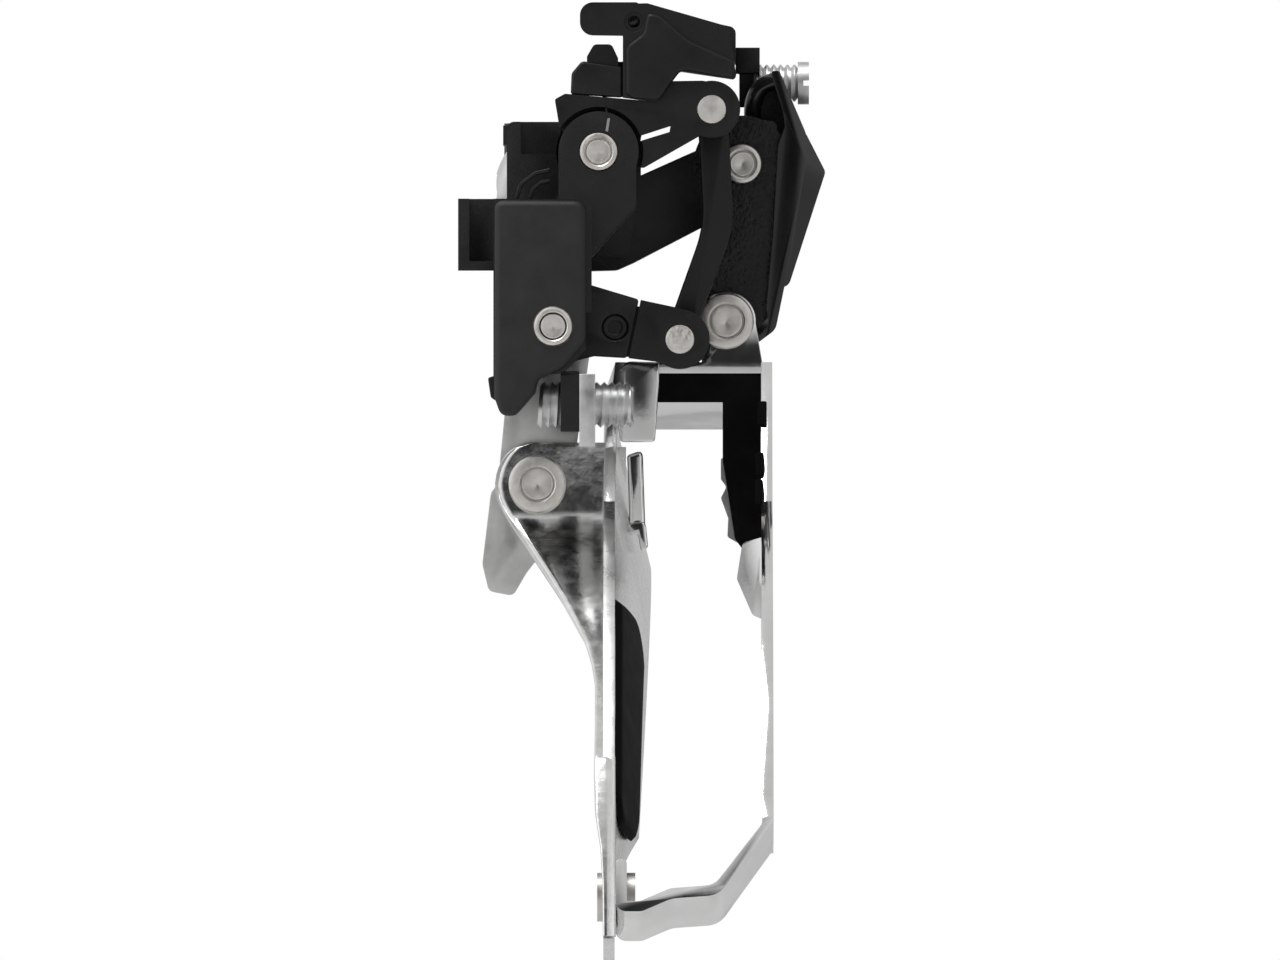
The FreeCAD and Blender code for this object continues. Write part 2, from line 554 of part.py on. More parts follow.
# ---------------------------------------------------------------- inner link and drive arm
def make_inner_link():
    """The silver link between the bracket and the inner cage plate, with its tail."""
    ux, uz = INNER_TOP
    lx, lz = INNER_LOW
    top = rod_y(INNER_TOP, 4.3, BARREL_NEAR, BARREL_FAR)
    low = rod_y(INNER_LOW, 4.2, BARREL_NEAR, BARREL_FAR)
    web = slab([(ux - 4.3, uz), (lx - 4.2, lz + 0.5, 2.0), (lx - 4.2, lz), (lx + 4.2, lz),
                (lx + 4.2, lz + 4.0, 2.0), (ux + 4.3, uz)], BARREL_NEAR, BARREL_FAR)
    tail = slab([(lx - 4.2, lz + 0.2), (lx - 5.0, lz - 1.0, 1.0), (lx - 5.9, lz - 8.6, 1.5),
                 (lx - 5.2, lz - 11.5, 0.8), (lx - 2.6, lz - 12.0, 0.8), (lx - 1.2, lz - 9.6, 1.5),
                 (lx + 1.6, lz - 6.0, 1.5), (lx + 2.2, lz)], BARREL_NEAR, BARREL_NEAR + 5.0)
    link = joined([top, low, web, tail])
    window = slab([(ux - 2.6, uz - 5.4, 1.0), (ux + 2.0, uz - 5.4, 1.0), (lx + 2.6, lz + 5.2, 1.0),
                   (lx - 2.4, lz + 5.2, 1.0)], BARREL_NEAR + 3.0, BARREL_FAR - 3.0)
    for cut in (window, eye(INNER_TOP, BARREL_NEAR, BARREL_FAR), eye(INNER_LOW, BARREL_NEAR, BARREL_FAR)):
        link = link.cut(cut)
    shaped("inner_link", link)
    bush("inner_link_upper_bush", INNER_TOP, ARM_NEAR, BARREL_FAR)
    bush("inner_link_lower_bush", INNER_LOW, BARREL_NEAR, BARREL_FAR)


def make_drive_arm():
    """The two-piece arm that the connecting rod pulls, fixed to the inner link."""
    ux, uz = INNER_TOP
    bx, bz = ROD_LOW
    split_top = (ux + 9.2, uz + 2.9)
    split_low = (ux + 7.9, uz - 3.4)
    root = slab([(ux, uz + 4.3), (ux + 4.2, uz + 4.4), split_top, split_low, (ux + 4.4, uz - 3.2),
                 (ux, uz - 4.3)], ARM_NEAR, ARM_FAR)
    root = root.fuse(rod_y(INNER_TOP, 4.3, ARM_NEAR, ARM_FAR))
    button = (ux + 6.64, uz - 0.1)
    root = root.cut(eye(INNER_TOP, ARM_NEAR, ARM_FAR)).cut(rod_y(button, 1.35, ARM_NEAR - 1, ARM_NEAR + 2))
    shaped("drive_arm_root", root)
    slot = 0.2
    tip = slab([(split_top[0] + slot, split_top[1] - 0.05), (bx + 0.6, bz + 3.2, 3.0), (bx + 3.0, bz, 2.5),
                (bx + 0.5, bz - 3.2, 3.0), (bx - 2.6, bz - 2.4, 2.0), (split_low[0] + slot, split_low[1])],
               ARM_NEAR + 0.15, ARM_FAR)
    tip = tip.fuse(rod_y(ROD_LOW, 3.2, ARM_NEAR + 0.15, ARM_FAR))
    tongue = slab([(split_top[0] - 0.1, split_top[1] - 1.2), (split_top[0] + 0.5, split_top[1] - 1.2),
                   (split_low[0] + 0.5, split_low[1] + 1.2), (split_low[0] - 0.1, split_low[1] + 1.2)],
                  ARM_NEAR + 1.0, ARM_FAR)
    tip = joined([tip, tongue]).cut(document.getObject("drive_arm_root").Shape)
    tip = tip.cut(rod_y(ROD_LOW, sizes.rod_pin_radius, ARM_NEAR - 1, ARM_FAR + 1))
    shaped("drive_arm_tip", tip)
    rivet = rod_y(button, 1.35, ARM_NEAR + 0.25, ARM_NEAR + 2)
    groove = rod_y(button, 1.05, ARM_NEAR, ARM_NEAR + 0.6).cut(rod_y(button, 0.75, ARM_NEAR, ARM_NEAR + 1))
    shaped("arm_rivet", rivet.cut(groove))


# ---------------------------------------------------------------- outer link
def make_outer_link():
    """The outer link: rear lug, back lug, side wall between them and the barrel at its lower pin."""
    ux, uz = OUTER_TOP
    lx, lz = OUTER_LOW
    wall_x = ux + 3.75
    lug_points = [(ux - 1.0, uz + 5.2, 2.0), (wall_x, uz + 4.5, 0.6), (wall_x, uz - 11.5),
                  (lx + 3.2, lz - 1.0, 1.5), (lx, lz - 3.0), (lx - 1.0, lz - 3.0), (lx - 3.2, lz),
                  (lx - 2.2, lz + 4.0, 2.0), (ux - 4.5, uz - 3.0, 1.0)]
    lug = slab(lug_points, LUG_NEAR, LUG_FAR).fuse(rod_y(OUTER_TOP, 5.2, LUG_NEAR, LUG_FAR))
    back = slab(lug_points, BACK_LUG_NEAR, BACK_LUG_FAR)
    back = back.fuse(rod_y(OUTER_TOP, 4.6, BACK_LUG_NEAR, BACK_LUG_FAR))
    wall = slab([(ux + 2.9, uz - 4.2), (wall_x, uz - 4.2), (ux + 2.8, uz - 16.5), (lx + 3.2, lz - 1.0),
                 (lx + 2.0, lz)], LUG_NEAR, BACK_LUG_FAR)
    barrel = rod_y(OUTER_LOW, 3.2, LUG_NEAR, BACK_LUG_FAR)
    link = joined([lug, back, wall, barrel])
    for cut in (eye(OUTER_TOP, LUG_NEAR, BACK_LUG_FAR), eye(OUTER_LOW, LUG_NEAR, BACK_LUG_FAR)):
        link = link.cut(cut)
    shaped("outer_link", link)
    bush("outer_link_upper_rear_bush", OUTER_TOP, LUG_NEAR, LUG_FAR)
    bush("outer_link_upper_front_bush", OUTER_TOP, BACK_LUG_NEAR, BACK_LUG_FAR)
    bush("outer_link_lower_bush", OUTER_LOW, LUG_NEAR, BACK_LUG_FAR)


def make_link_cover():
    """The glossy cover on the outboard side of the outer link: a tall rear blade and a low front."""
    ux, uz = OUTER_TOP
    blade = slab([(ux + 3.0, uz + 10.0, 0.4), (ux + 4.0, uz + 10.0, 0.4), (ux + 6.9, uz + 3.2, 2.0),
                  (ux + 6.9, uz + 0.4, 3.0), (ux + 5.1, uz - 10.5, 6.0), (ux + 3.6, uz - 17.8, 1.5),
                  (ux + 1.2, uz - 19.6, 0.8), (ux + 1.2, uz - 17.6), (ux + 2.6, uz - 15.5),
                  (ux + 3.3, uz - 8.0), (ux + 3.9, uz + 2.0), (ux + 4.6, uz + 4.0),
                  (ux + 4.4, uz + 5.6, 1.0)], LUG_NEAR - 0.8, 3.0)
    front = slab([(ux + 3.9, uz + 2.6), (ux + 6.8, uz + 3.5, 0.5), (ux + 9.0, uz - 0.8, 0.8),
                  (ux + 5.0, uz - 13.2, 1.0), (ux + 2.9, uz - 13.2), (ux + 3.3, uz - 8.0)],
                 3.0, BACK_LUG_FAR)
    cover = joined([blade, front]).cut(document.getObject("outer_link").Shape)
    ear_way = rod_y(OUTER_LOW, 4.5, LUG_NEAR - 3, LUG_NEAR)
    shaped("link_cover", cover.cut(ear_way))


def make_return_spring():
    """Coil of the torsion spring between the ears of the fork."""
    radius = sizes.coil_radius
    wire = sizes.wire_radius
    ear_gap = 0.3
    start_y = FORK_INSIDE + wire + ear_gap
    length = FORK_BACK - wire - ear_gap - start_y
    coil = Part.makeHelix(length / sizes.coil_turns, length, radius)
    cross = Part.Wire(Part.makeCircle(wire, Vector(radius, 0, 0), Vector(0, 1, 0)))
    body = Part.Wire(coil.Edges).makePipeShell([cross], True, True)
    body.rotate(Vector(0, 0, 0), Vector(1, 0, 0), -90)
    body.rotate(Vector(0, 0, 0), Vector(0, 1, 0), -90)
    body.translate(Vector(OUTER_TOP[0], start_y, OUTER_TOP[1]))
    shaped("return_spring", body)


# ---------------------------------------------------------------- cage
def ring_point(radius, angle):
    """A point at a radius and an angle about the chainring axis; the angle leans rearwards from up."""
    return Vector(0, sizes.ring_y - radius * math.sin(math.radians(angle)),
                  sizes.ring_z + radius * math.cos(math.radians(angle)))


def cage_side(front_drop, tail_angle):
    """The side outline of a cage plate in Y and Z, as a face in the plane x = 0."""
    outside = sizes.cage_outside
    inside = sizes.cage_inside
    tail_out = ring_point(outside, tail_angle)
    tail_in = ring_point(outside - sizes.tail_width, tail_angle)
    start = ring_point(outside, 27)
    top_rear = Vector(0, CAGE_EAR_NEAR, BRIDGE_Z)
    front = sizes.cage_front
    top_front = Vector(0, front, BRIDGE_Z - (front - CAGE_EAR_NEAR) * sizes.bridge_fall)
    low_front = Vector(0, front, top_front.z - front_drop)
    edges = [Part.Arc(start, ring_point(outside, 48), tail_out).toShape(),
             Part.LineSegment(tail_out, tail_in).toShape(),
             Part.Arc(tail_in, ring_point(inside + 1.5, 38), low_front).toShape(),
             Part.LineSegment(low_front, top_front).toShape(),
             Part.LineSegment(top_front, top_rear).toShape(),
             Part.LineSegment(top_rear, start).toShape()]
    return Part.Face(Part.Wire(edges))


def section(radial, thickness, angle):
    """The cut through a side sheet at an angle about the chainring axis, as a wire.

    The (radius, x) points are on its inboard face.
    """
    near = [Vector(x, 0, radius) for radius, x in radial]
    far = [Vector(x + thickness, 0, radius) for radius, x in reversed(radial)]
    wire = Part.makePolygon(near + far + near[:1])
    wire.rotate(Vector(0, 0, 0), Vector(1, 0, 0), angle)
    wire.translate(Vector(0, sizes.ring_y, sizes.ring_z))
    return wire


def leaning_sheet(low, high, offset, thickness, start, end):
    """A sheet along the inner plate between two radii: it leans, and turns upright at the tail."""
    outside = sizes.cage_outside
    base = sizes.inner_plate_x + offset
    leaning = [(low, base + (outside - low) * sizes.inner_plate_lean), (min(high, outside), base)]
    upright = [(low, base), (min(high, outside), base)]
    if high > outside:
        leaning += [(outside + 4, base + 0.2), (high, base + 2.2)]
        upright += [(outside + 4, base), (high, base)]
    axis = Vector(0, sizes.ring_y, sizes.ring_z)
    face = Part.Face(section(leaning, thickness, start))
    pieces = [face.revolve(axis, Vector(1, 0, 0), LEAN_END - start),
              Part.makeLoft([section(leaning, thickness, LEAN_END),
                             section(upright, thickness, UPRIGHT_START)], True, True)]
    if end > UPRIGHT_START:
        tail = Part.Face(section(upright, thickness, UPRIGHT_START))
        pieces.append(tail.revolve(axis, Vector(1, 0, 0), end - UPRIGHT_START))
    return joined(pieces)


def make_inner_plate():
    """Inner plate: a leaning side sheet with two pivot ears bent inboard from it."""
    lx, lz = INNER_LOW
    reach = 40
    side = cage_side(16.0, 71).extrude(Vector(reach, 0, 0))
    outside = sizes.cage_outside
    wall = leaning_sheet(outside - 22, outside + 16, 0, sizes.sheet, -12, 75).common(side)
    edge_x = sizes.inner_plate_x
    rear_ear = slab([(lx + 1.5, lz + 4.2), (edge_x + 0.9, lz + 4.1), (edge_x + 0.9, lz - 3.2),
                     (lx + 2.0, lz - 9.0, 3.0), (lx - 2.8, lz - 3.3)], INNER_EAR_NEAR, INNER_EAR_FAR)
    rear_ear = rear_ear.fuse(rod_y(INNER_LOW, 4.5, INNER_EAR_NEAR, INNER_EAR_FAR))
    back_near = BARREL_FAR + GAP
    back_ear = slab([(lx, lz + 4.0), (edge_x + 2.4, lz + 4.0), (edge_x + 2.4, lz - 4.0), (lx, lz - 4.0)],
                    back_near, back_near + sizes.sheet)
    back_ear = back_ear.fuse(rod_y(INNER_LOW, 4.0, back_near, back_near + sizes.sheet))
    flange_top = lz - 4.0
    rim = ring_point(outside, FLANGE_END)
    under = ring_point(outside - sizes.sheet, FLANGE_END)
    flange = side_slab([(INNER_EAR_NEAR, lz - 2.0), (INNER_EAR_NEAR, flange_top, 2.0), (rim.y, rim.z),
                        (under.y, under.z), (INNER_EAR_FAR, flange_top - 0.4 * sizes.sheet, 2.6),
                        (INNER_EAR_FAR, lz - 2.0)], lx - 6, edge_x + 0.9)
    sweep = slab([(lx - 3.7, lz - 2.5), (edge_x + 0.9, lz - 1.5), (edge_x + 0.9, lz - 22.5),
                  (edge_x - 0.4, lz - 20.5, 6.0), (lx + 2.9, lz - 12.4, 6.0)], -80, 0)
    plate = joined([wall, rear_ear, back_ear, flange.common(sweep)])
    plate = plate.cut(pin_hole(INNER_LOW, INNER_EAR_NEAR, back_near + sizes.sheet))
    shaped("inner_plate", plate)


def make_outer_plate():
    """Outer plate, with the bridge over the chain, the upper pivot ears and the tail strap."""
    lx, lz = OUTER_LOW
    thick = sizes.sheet
    high = sizes.outer_plate_x
    inside = OUTER_INSIDE_X
    wall = cage_side(14.0, STRAP_ANGLE).extrude(Vector(thick, 0, 0))
    wall.translate(Vector(inside, 0, 0))
    front = sizes.cage_front
    fall = (front - CAGE_EAR_NEAR) * sizes.bridge_fall
    top = BRIDGE_Z
    left = sizes.inner_plate_x + 3.0
    bridge = side_slab([(CAGE_EAR_NEAR, top), (front, top - fall), (front, top - fall - thick),
                        (CAGE_EAR_NEAR, top - thick)], left, high)
    ears = []
    for near in (CAGE_EAR_NEAR, BACK_LUG_FAR + GAP):
        foot = top - (near - CAGE_EAR_NEAR) * sizes.bridge_fall - 0.6 * thick
        ear = slab([(lx - 2.9, lz), (lx - 2.3, foot), (lx + 4.0, foot), (lx + 3.1, lz)],
                   near, near + thick)
        ears.append(ear.fuse(rod_y(OUTER_LOW, 3.15, near, near + thick)))
    dent = slab([(inside + 0.1, -37.0), (inside - 2.0, -37.6, 0.6), (inside - 2.6, -41.5, 0.8),
                 (inside - 0.9, -45.4, 0.8), (inside + 0.1, -45.8)], -6.0, 1.0)
    plate = joined([wall, bridge, tail_strap(), dent] + ears)
    plate = plate.cut(pin_hole(OUTER_LOW, CAGE_EAR_NEAR, BACK_LUG_FAR + 3))
    shaped("outer_plate", plate)


def strap_frame(shape):
    """Turn a shape from the plane of the tail strap's outline to its place on the plates."""
    angle = math.radians(STRAP_ANGLE)
    place = Vector(0, sizes.ring_y - sizes.cage_outside * math.sin(angle),
                   sizes.ring_z + sizes.cage_outside * math.cos(angle))
    shape.rotate(Vector(0, 0, 0), Vector(1, 0, 0), STRAP_ANGLE - 90 + 3.3)
    shape.translate(place)
    return shape


def tail_strap():
    """The strap that closes the cage at its tail, with the tab that is riveted to the inner plate."""
    high = sizes.outer_plate_x
    thick = sizes.sheet
    tab = sizes.inner_plate_x + sizes.sheet + 0.1
    face = Part.Face(outline([(high, 0.4), (high, 0.0, 1.5), (high - 5.8, -8.8, 2.5),
                              (high - 10.8, -9.2, 2.5), (high - 14.0, -10.7, 1.5), (tab, -10.7, 1.2),
                              (tab, -4.6, 0.5), (tab + thick, -4.6, 0.5), (tab + thick, -9.5),
                              (high - 14.2, -9.5, 1.0), (high - 11.0, -8.0, 2.0),
                              (high - 6.3, -7.6, 2.0), (high - thick, -0.4, 1.5), (high - thick, 0.4)]))
    return strap_frame(face.extrude(Vector(0, sizes.tail_width, 0)))


def make_cage_fittings():
    """Tail rivet, inner skid pad, outer liner and its insert."""
    plate_x = sizes.inner_plate_x
    thick = sizes.sheet
    tab_far = plate_x + 2 * thick + 0.1
    shank = rod_x(sizes.tail_width * 0.5, -7.3, sizes.rivet_radius, plate_x - 0.1, tab_far + 0.1)
    left_head = rod_x(sizes.tail_width * 0.5, -7.3, sizes.rivet_head_radius, plate_x - 0.65, plate_x)
    right_head = rod_x(sizes.tail_width * 0.5, -7.3, sizes.rivet_head_radius, tab_far, tab_far + 0.9)
    rivet = strap_frame(joined([shank, left_head, right_head]))
    shaped("tail_rivet", rivet)
    for name in ("inner_plate", "outer_plate"):
        plate = document.getObject(name)
        plate.Shape = plate.Shape.cut(rivet)
    outside = sizes.cage_outside
    pad = leaning_sheet(outside - 13.5, outside, thick, 1.5, 40, UPRIGHT_START)
    shaped("inner_skid_pad", pad.cut(document.getObject("inner_plate").Shape))

    near = CAGE_EAR_NEAR + 0.2
    inside = OUTER_INSIDE_X
    top = BRIDGE_Z - 0.6
    liner = slab([(15.8, top), (inside, top), (inside, top - 18.4), (inside - 1.6, top - 20.0),
                  (inside - 2.8, top - 18.4, 0.8), (inside - 4.1, top - 10.0), (inside - 4.1, top - 3.7),
                  (15.8, top - 3.7, 0.5)], near, near + 12.0)
    insert = slab([(inside - 2.2, top - 9.6), (inside - 4.3, top - 9.7), (inside - 4.3, top - 12.0, 0.4),
                   (inside - 3.7, top - 12.8, 0.4), (inside - 4.3, top - 14.0, 0.4),
                   (inside - 3.5, top - 16.2, 0.4), (inside - 3.6, top - 18.2, 0.4),
                   (inside - 2.2, top - 19.0)], near + 1.0, near + 10.0)
    liner = liner.cut(document.getObject("outer_plate").Shape)
    liner = liner.cut(insert)
    solid = max(liner.Solids, key=lambda piece: piece.Volume)
    shaped("outer_liner", solid)
    shaped("liner_insert", insert.cut(document.getObject("outer_plate").Shape))


def main():
    """Build every sub-part, check them and write their files."""
    make_bracket()
    make_bracket_fittings()
    make_lever()
    make_cap()
    rod_pin("rod_upper_pin", ROD_TOP, LEVER_NEAR, ROD_FAR + GAP)
    make_rod()
    make_inner_link()
    make_drive_arm()
    rod_pin("rod_lower_pin", ROD_LOW, ARM_NEAR + 0.15, ROD_FAR + GAP)
    make_outer_link()
    make_link_cover()
    make_return_spring()
    make_inner_plate()
    make_outer_plate()
    make_cage_fittings()
    ring_pin("inner_cage_pin", INNER_LOW, INNER_EAR_NEAR - sizes.cage_ring_height,
             BARREL_FAR + GAP + sizes.sheet, "cage_ring_radius", "cage_ring_height")
    ring_pin("outer_cage_pin", OUTER_LOW, CAGE_EAR_NEAR - sizes.cage_ring_height,
             BACK_LUG_FAR + GAP + sizes.sheet, "cage_ring_radius", "cage_ring_height")
    document.recompute()
    for item in document.Objects:
        if "Invalid" in item.State or "Error" in item.State:
            raise RuntimeError("%s failed: %s" % (item.Label, item.State))
    os.makedirs("parts", exist_ok=True)
    for part in parts:
        shape = part.Shape
        if shape.isNull() or not shape.isValid():
            raise RuntimeError("%s has no valid shape" % part.Label)
        shape.exportStep("parts/%s.step" % part.Label)
        print("%-28s solids %d volume %9.2f" % (part.Label, len(shape.Solids), shape.Volume))


main()
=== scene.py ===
"""Front derailleur: softened castings, threads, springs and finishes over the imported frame.

Metres throughout, in the frame of the CAD model: X outboard, Y forward, Z up.
"""
import json
import logging
import math
from dataclasses import dataclass
from enum import Enum
from typing import Iterable, Sequence

import bmesh
import bpy
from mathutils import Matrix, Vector


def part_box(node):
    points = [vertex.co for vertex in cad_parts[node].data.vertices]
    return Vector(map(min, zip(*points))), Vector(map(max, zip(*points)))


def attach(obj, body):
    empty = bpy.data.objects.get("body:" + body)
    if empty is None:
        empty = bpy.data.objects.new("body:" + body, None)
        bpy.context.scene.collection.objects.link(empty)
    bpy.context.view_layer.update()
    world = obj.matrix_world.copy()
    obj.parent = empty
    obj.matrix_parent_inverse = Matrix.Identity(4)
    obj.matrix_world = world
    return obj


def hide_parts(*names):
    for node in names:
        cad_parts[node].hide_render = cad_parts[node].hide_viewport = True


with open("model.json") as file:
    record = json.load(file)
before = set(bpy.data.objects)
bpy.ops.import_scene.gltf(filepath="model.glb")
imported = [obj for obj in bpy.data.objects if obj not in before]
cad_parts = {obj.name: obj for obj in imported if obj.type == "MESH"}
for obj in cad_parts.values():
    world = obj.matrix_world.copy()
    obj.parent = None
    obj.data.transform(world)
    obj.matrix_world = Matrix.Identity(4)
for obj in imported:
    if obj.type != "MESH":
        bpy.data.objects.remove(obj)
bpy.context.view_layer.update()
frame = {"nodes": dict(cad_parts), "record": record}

LOG = logging.getLogger("front_derailleur")
MM = 0.001

# range of a noise's factor that a finish spreads over its colours and its roughness
COLOUR_SPAN = (0.35, 0.68)
VALUE_SPAN = (0.3, 0.7)
COAT_ROUGHNESS = 0.06
# socket places of a colour Mix node
MIX_A, MIX_B, MIX_RESULT = 6, 7, 2
# steps of what is wound and turned
TURN_STEPS = 32
CORE_STEPS = 48
PIN_STEPS = 72
# corners closer than this are one, and faces that turn less are one
JOIN_WITHIN = 2e-6
FLAT_WITHIN = math.radians(1.0)


class Slot(Enum):
    """Material slots of the record that new pieces take their finish from."""

    CASTING = "cast_black"
    LEVER = "lever_black"
    COVER = "cover_black"
    PAD = "pad_black"
    INSERT = "insert_grey"
    CHROME = "cage_chrome"
    LINK = "link_silver"
    PIN = "pin_steel"
    SCREW = "screw_steel"
    BOLT = "bolt_silver"
    BUSH = "bush_bronze"
    SPRING = "spring_black"


# ---------------------------------------------------------------- finishes
class Shade:
    """A small helper around one material's node tree."""

    def __init__(self, name: str) -> None:
        """Make an empty node material.

        Args:
            name: The material's name.
        """
        self.material = bpy.data.materials.new(name)
        self.material.use_nodes = True
        self.tree = self.material.node_tree
        self.shader = self.tree.nodes["Principled BSDF"]
        self.coordinates = self.tree.nodes.new("ShaderNodeTexCoord")

    def node(self, kind: str, **inputs: object) -> bpy.types.Node:
        """Add a node.

        Args:
            kind: The node's type.
            inputs: Values of its named inputs, underscores standing for spaces.

        Returns:
            The new node.
        """
        made = self.tree.nodes.new(kind)
        for name, value in inputs.items():
            made.inputs[name.replace("_", " ")].default_value = value
        return made

    def link(self, source: bpy.types.NodeSocket, target: bpy.types.NodeSocket) -> None:
        """Join two sockets."""
        self.tree.links.new(source, target)

    def noise(self, scale: float, detail: float) -> bpy.types.NodeSocket:
        """Add noise on object coordinates.

        Args:
            scale: How many cells a metre holds.
            detail: Octaves.

        Returns:
            The noise's factor.
        """
        noise = self.node("ShaderNodeTexNoise", Scale=scale, Detail=detail, Roughness=0.6)
        self.link(self.coordinates.outputs["Object"], noise.inputs["Vector"])
        return noise.outputs["Fac"]

    def span(self, factor: bpy.types.NodeSocket, low: float, high: float) -> bpy.types.NodeSocket:
        """Spread a factor over a range.

        Args:
            factor: The factor from 0 to 1.
            low: Result at the low end of VALUE_SPAN.
            high: Result at its high end.

        Returns:
            The new value.
        """
        ranged = self.node("ShaderNodeMapRange")
        ends = ("From Min", "From Max", "To Min", "To Max")
        for name, value in zip(ends, (*VALUE_SPAN, low, high)):
            ranged.inputs[name].default_value = value
        self.link(factor, ranged.inputs["Value"])
        return ranged.outputs["Result"]

    def mix(self, factor: bpy.types.NodeSocket, first: Sequence[float], second: Sequence[float]) -> None:
        """Colour the surface between two colours by a factor.

        Args:
            factor: The factor from 0 to 1.
            first: Colour at the low end of COLOUR_SPAN.
            second: Colour at its high end.
        """
        ramp = self.tree.nodes.new("ShaderNodeValToRGB")
        for element, position, colour in zip(ramp.color_ramp.elements, COLOUR_SPAN, (first, second)):
            element.position = position
            element.color = (*colour, 1.0)
        self.link(factor, ramp.inputs["Fac"])
        self.link(ramp.outputs["Color"], self.shader.inputs["Base Color"])

    def bump(self, heights: Iterable[tuple[bpy.types.NodeSocket, float, float]]) -> None:
        """Stack bumps.

        Args:
            heights: (height socket, strength, distance in metres) of each layer.
        """
        previous = None
        for height, strength, distance in heights:
            layer = self.node("ShaderNodeBump", Strength=strength, Distance=distance)
            self.link(height, layer.inputs["Height"])
            if previous is not None:
                self.link(previous, layer.inputs["Normal"])
            previous = layer.outputs["Normal"]
        if previous is not None:
            self.link(previous, self.shader.inputs["Normal"])


@dataclass(frozen=True)
class Finish:
    """A finish with a fine grain and a broad unevenness."""

    slot: Slot
    dark: tuple[float, float, float]
    light: tuple[float, float, float]
    metallic: float = 0.0
    roughness: tuple[float, float] = (0.4, 0.5)
    grain: float = 9000.0
    grain_strength: float = 0.15
    grain_depth: float = 0.00004
    patches: float = 260.0
    patch_strength: float = 0.0
    patch_depth: float = 0.0002
    coat: float = 0.0
    transmission: float = 0.0
    specular: float = 0.5

    def build(self, name: str = "") -> bpy.types.Material:
        """Make the node material.

        Args:
            name: The material's name, where it isn't the slot's.

        Returns:
            The material.
        """
        shade = Shade(name or self.slot.value + "_finish")
        shader = shade.shader.inputs
        shader["Metallic"].default_value = self.metallic
        shader["Coat Weight"].default_value = self.coat
        shader["Coat Roughness"].default_value = COAT_ROUGHNESS
        shader["Transmission Weight"].default_value = self.transmission
        shader["Specular IOR Level"].default_value = self.specular
        patches = shade.noise(self.patches, 4.0)
        grain = shade.noise(self.grain, 2.0)
        shade.mix(patches, self.dark, self.light)
        shade.link(shade.span(patches, *self.roughness), shader["Roughness"])
        layers = [(grain, self.grain_strength, self.grain_depth)]
        if self.patch_strength:
            layers.insert(0, (patches, self.patch_strength, self.patch_depth))
        shade.bump(layers)
        return shade.material


@dataclass(frozen=True)
class TurnedFinish:
    """Turned steel with faint rings about an axis along Y."""

    name: str
    centre: tuple[float, float, float]
    colour: tuple[float, float, float] = (0.86, 0.83, 0.79)
    rings: float = 260.0
    roughness: float = 0.38
    knurled: bool = False

    def build(self) -> bpy.types.Material:
        """Make the node material.

        Returns:
            The material.
        """
        shade = Shade(self.name)
        shader = shade.shader.inputs
        shader["Metallic"].default_value = 1.0
        flat = shade.node("ShaderNodeMapping", Location=self.centre, Scale=(1.0, 1000.0, 1.0))
        flat.vector_type = "TEXTURE"
        shade.link(shade.coordinates.outputs["Object"], flat.inputs["Vector"])
        rings = shade.node("ShaderNodeTexWave", Scale=self.rings, Distortion=0.6, Detail=2.0)
        rings.wave_type = "RINGS"
        rings.rings_direction = "Y"
        shade.link(flat.outputs["Vector"], rings.inputs["Vector"])
        soil = shade.noise(900.0, 4.0)
        shade.mix(soil, tuple(c * 0.82 for c in self.colour), self.colour)
        shade.link(shade.span(soil, self.roughness * 0.85, self.roughness * 1.25), shader["Roughness"])
        layers = [(rings.outputs["Fac"], 0.10, 0.00003)]
        if self.knurled:
            layers.append((shade.noise(1500.0, 1.0), 0.8, 0.00018))
        else:
            layers.append((shade.noise(5000.0, 2.0), 0.12, 0.00003))
        shade.bump(layers)
        return shade.material


# finishes of single pieces, beside those of the slots
# the block's front face: a lighter copy of the casting black, painted light where the lamps fall on it
LIT_BLOCK_CAST = Finish(Slot.CASTING, (0.0110, 0.0110, 0.0106), (0.0175, 0.0175, 0.0168), 0.0, (0.46, 0.56),
                    5200.0, 0.55, 0.00006, 300.0, 0.06, 0.0001)
FLANGE_CHROME = Finish(Slot.CHROME, (0.80, 0.80, 0.79), (0.92, 0.92, 0.91), 1.0, (0.10, 0.22), 3800.0, 0.10,
                       0.00003, 620.0, 0.09, 0.00025)
PLATE_CHROME = Finish(Slot.CHROME, (0.74, 0.74, 0.73), (0.86, 0.86, 0.85), 1.0, (0.22, 0.34), 3800.0, 0.12,
                      0.00003, 260.0, 0.12, 0.0004)
LINK_CAST = Finish(Slot.CASTING, (0.0020, 0.0020, 0.0020), (0.0045, 0.0045, 0.0045), 0.0, (0.24, 0.44),
                   2600.0, 0.9, 0.00016, 900.0, 0.5, 0.0003, specular=0.35)
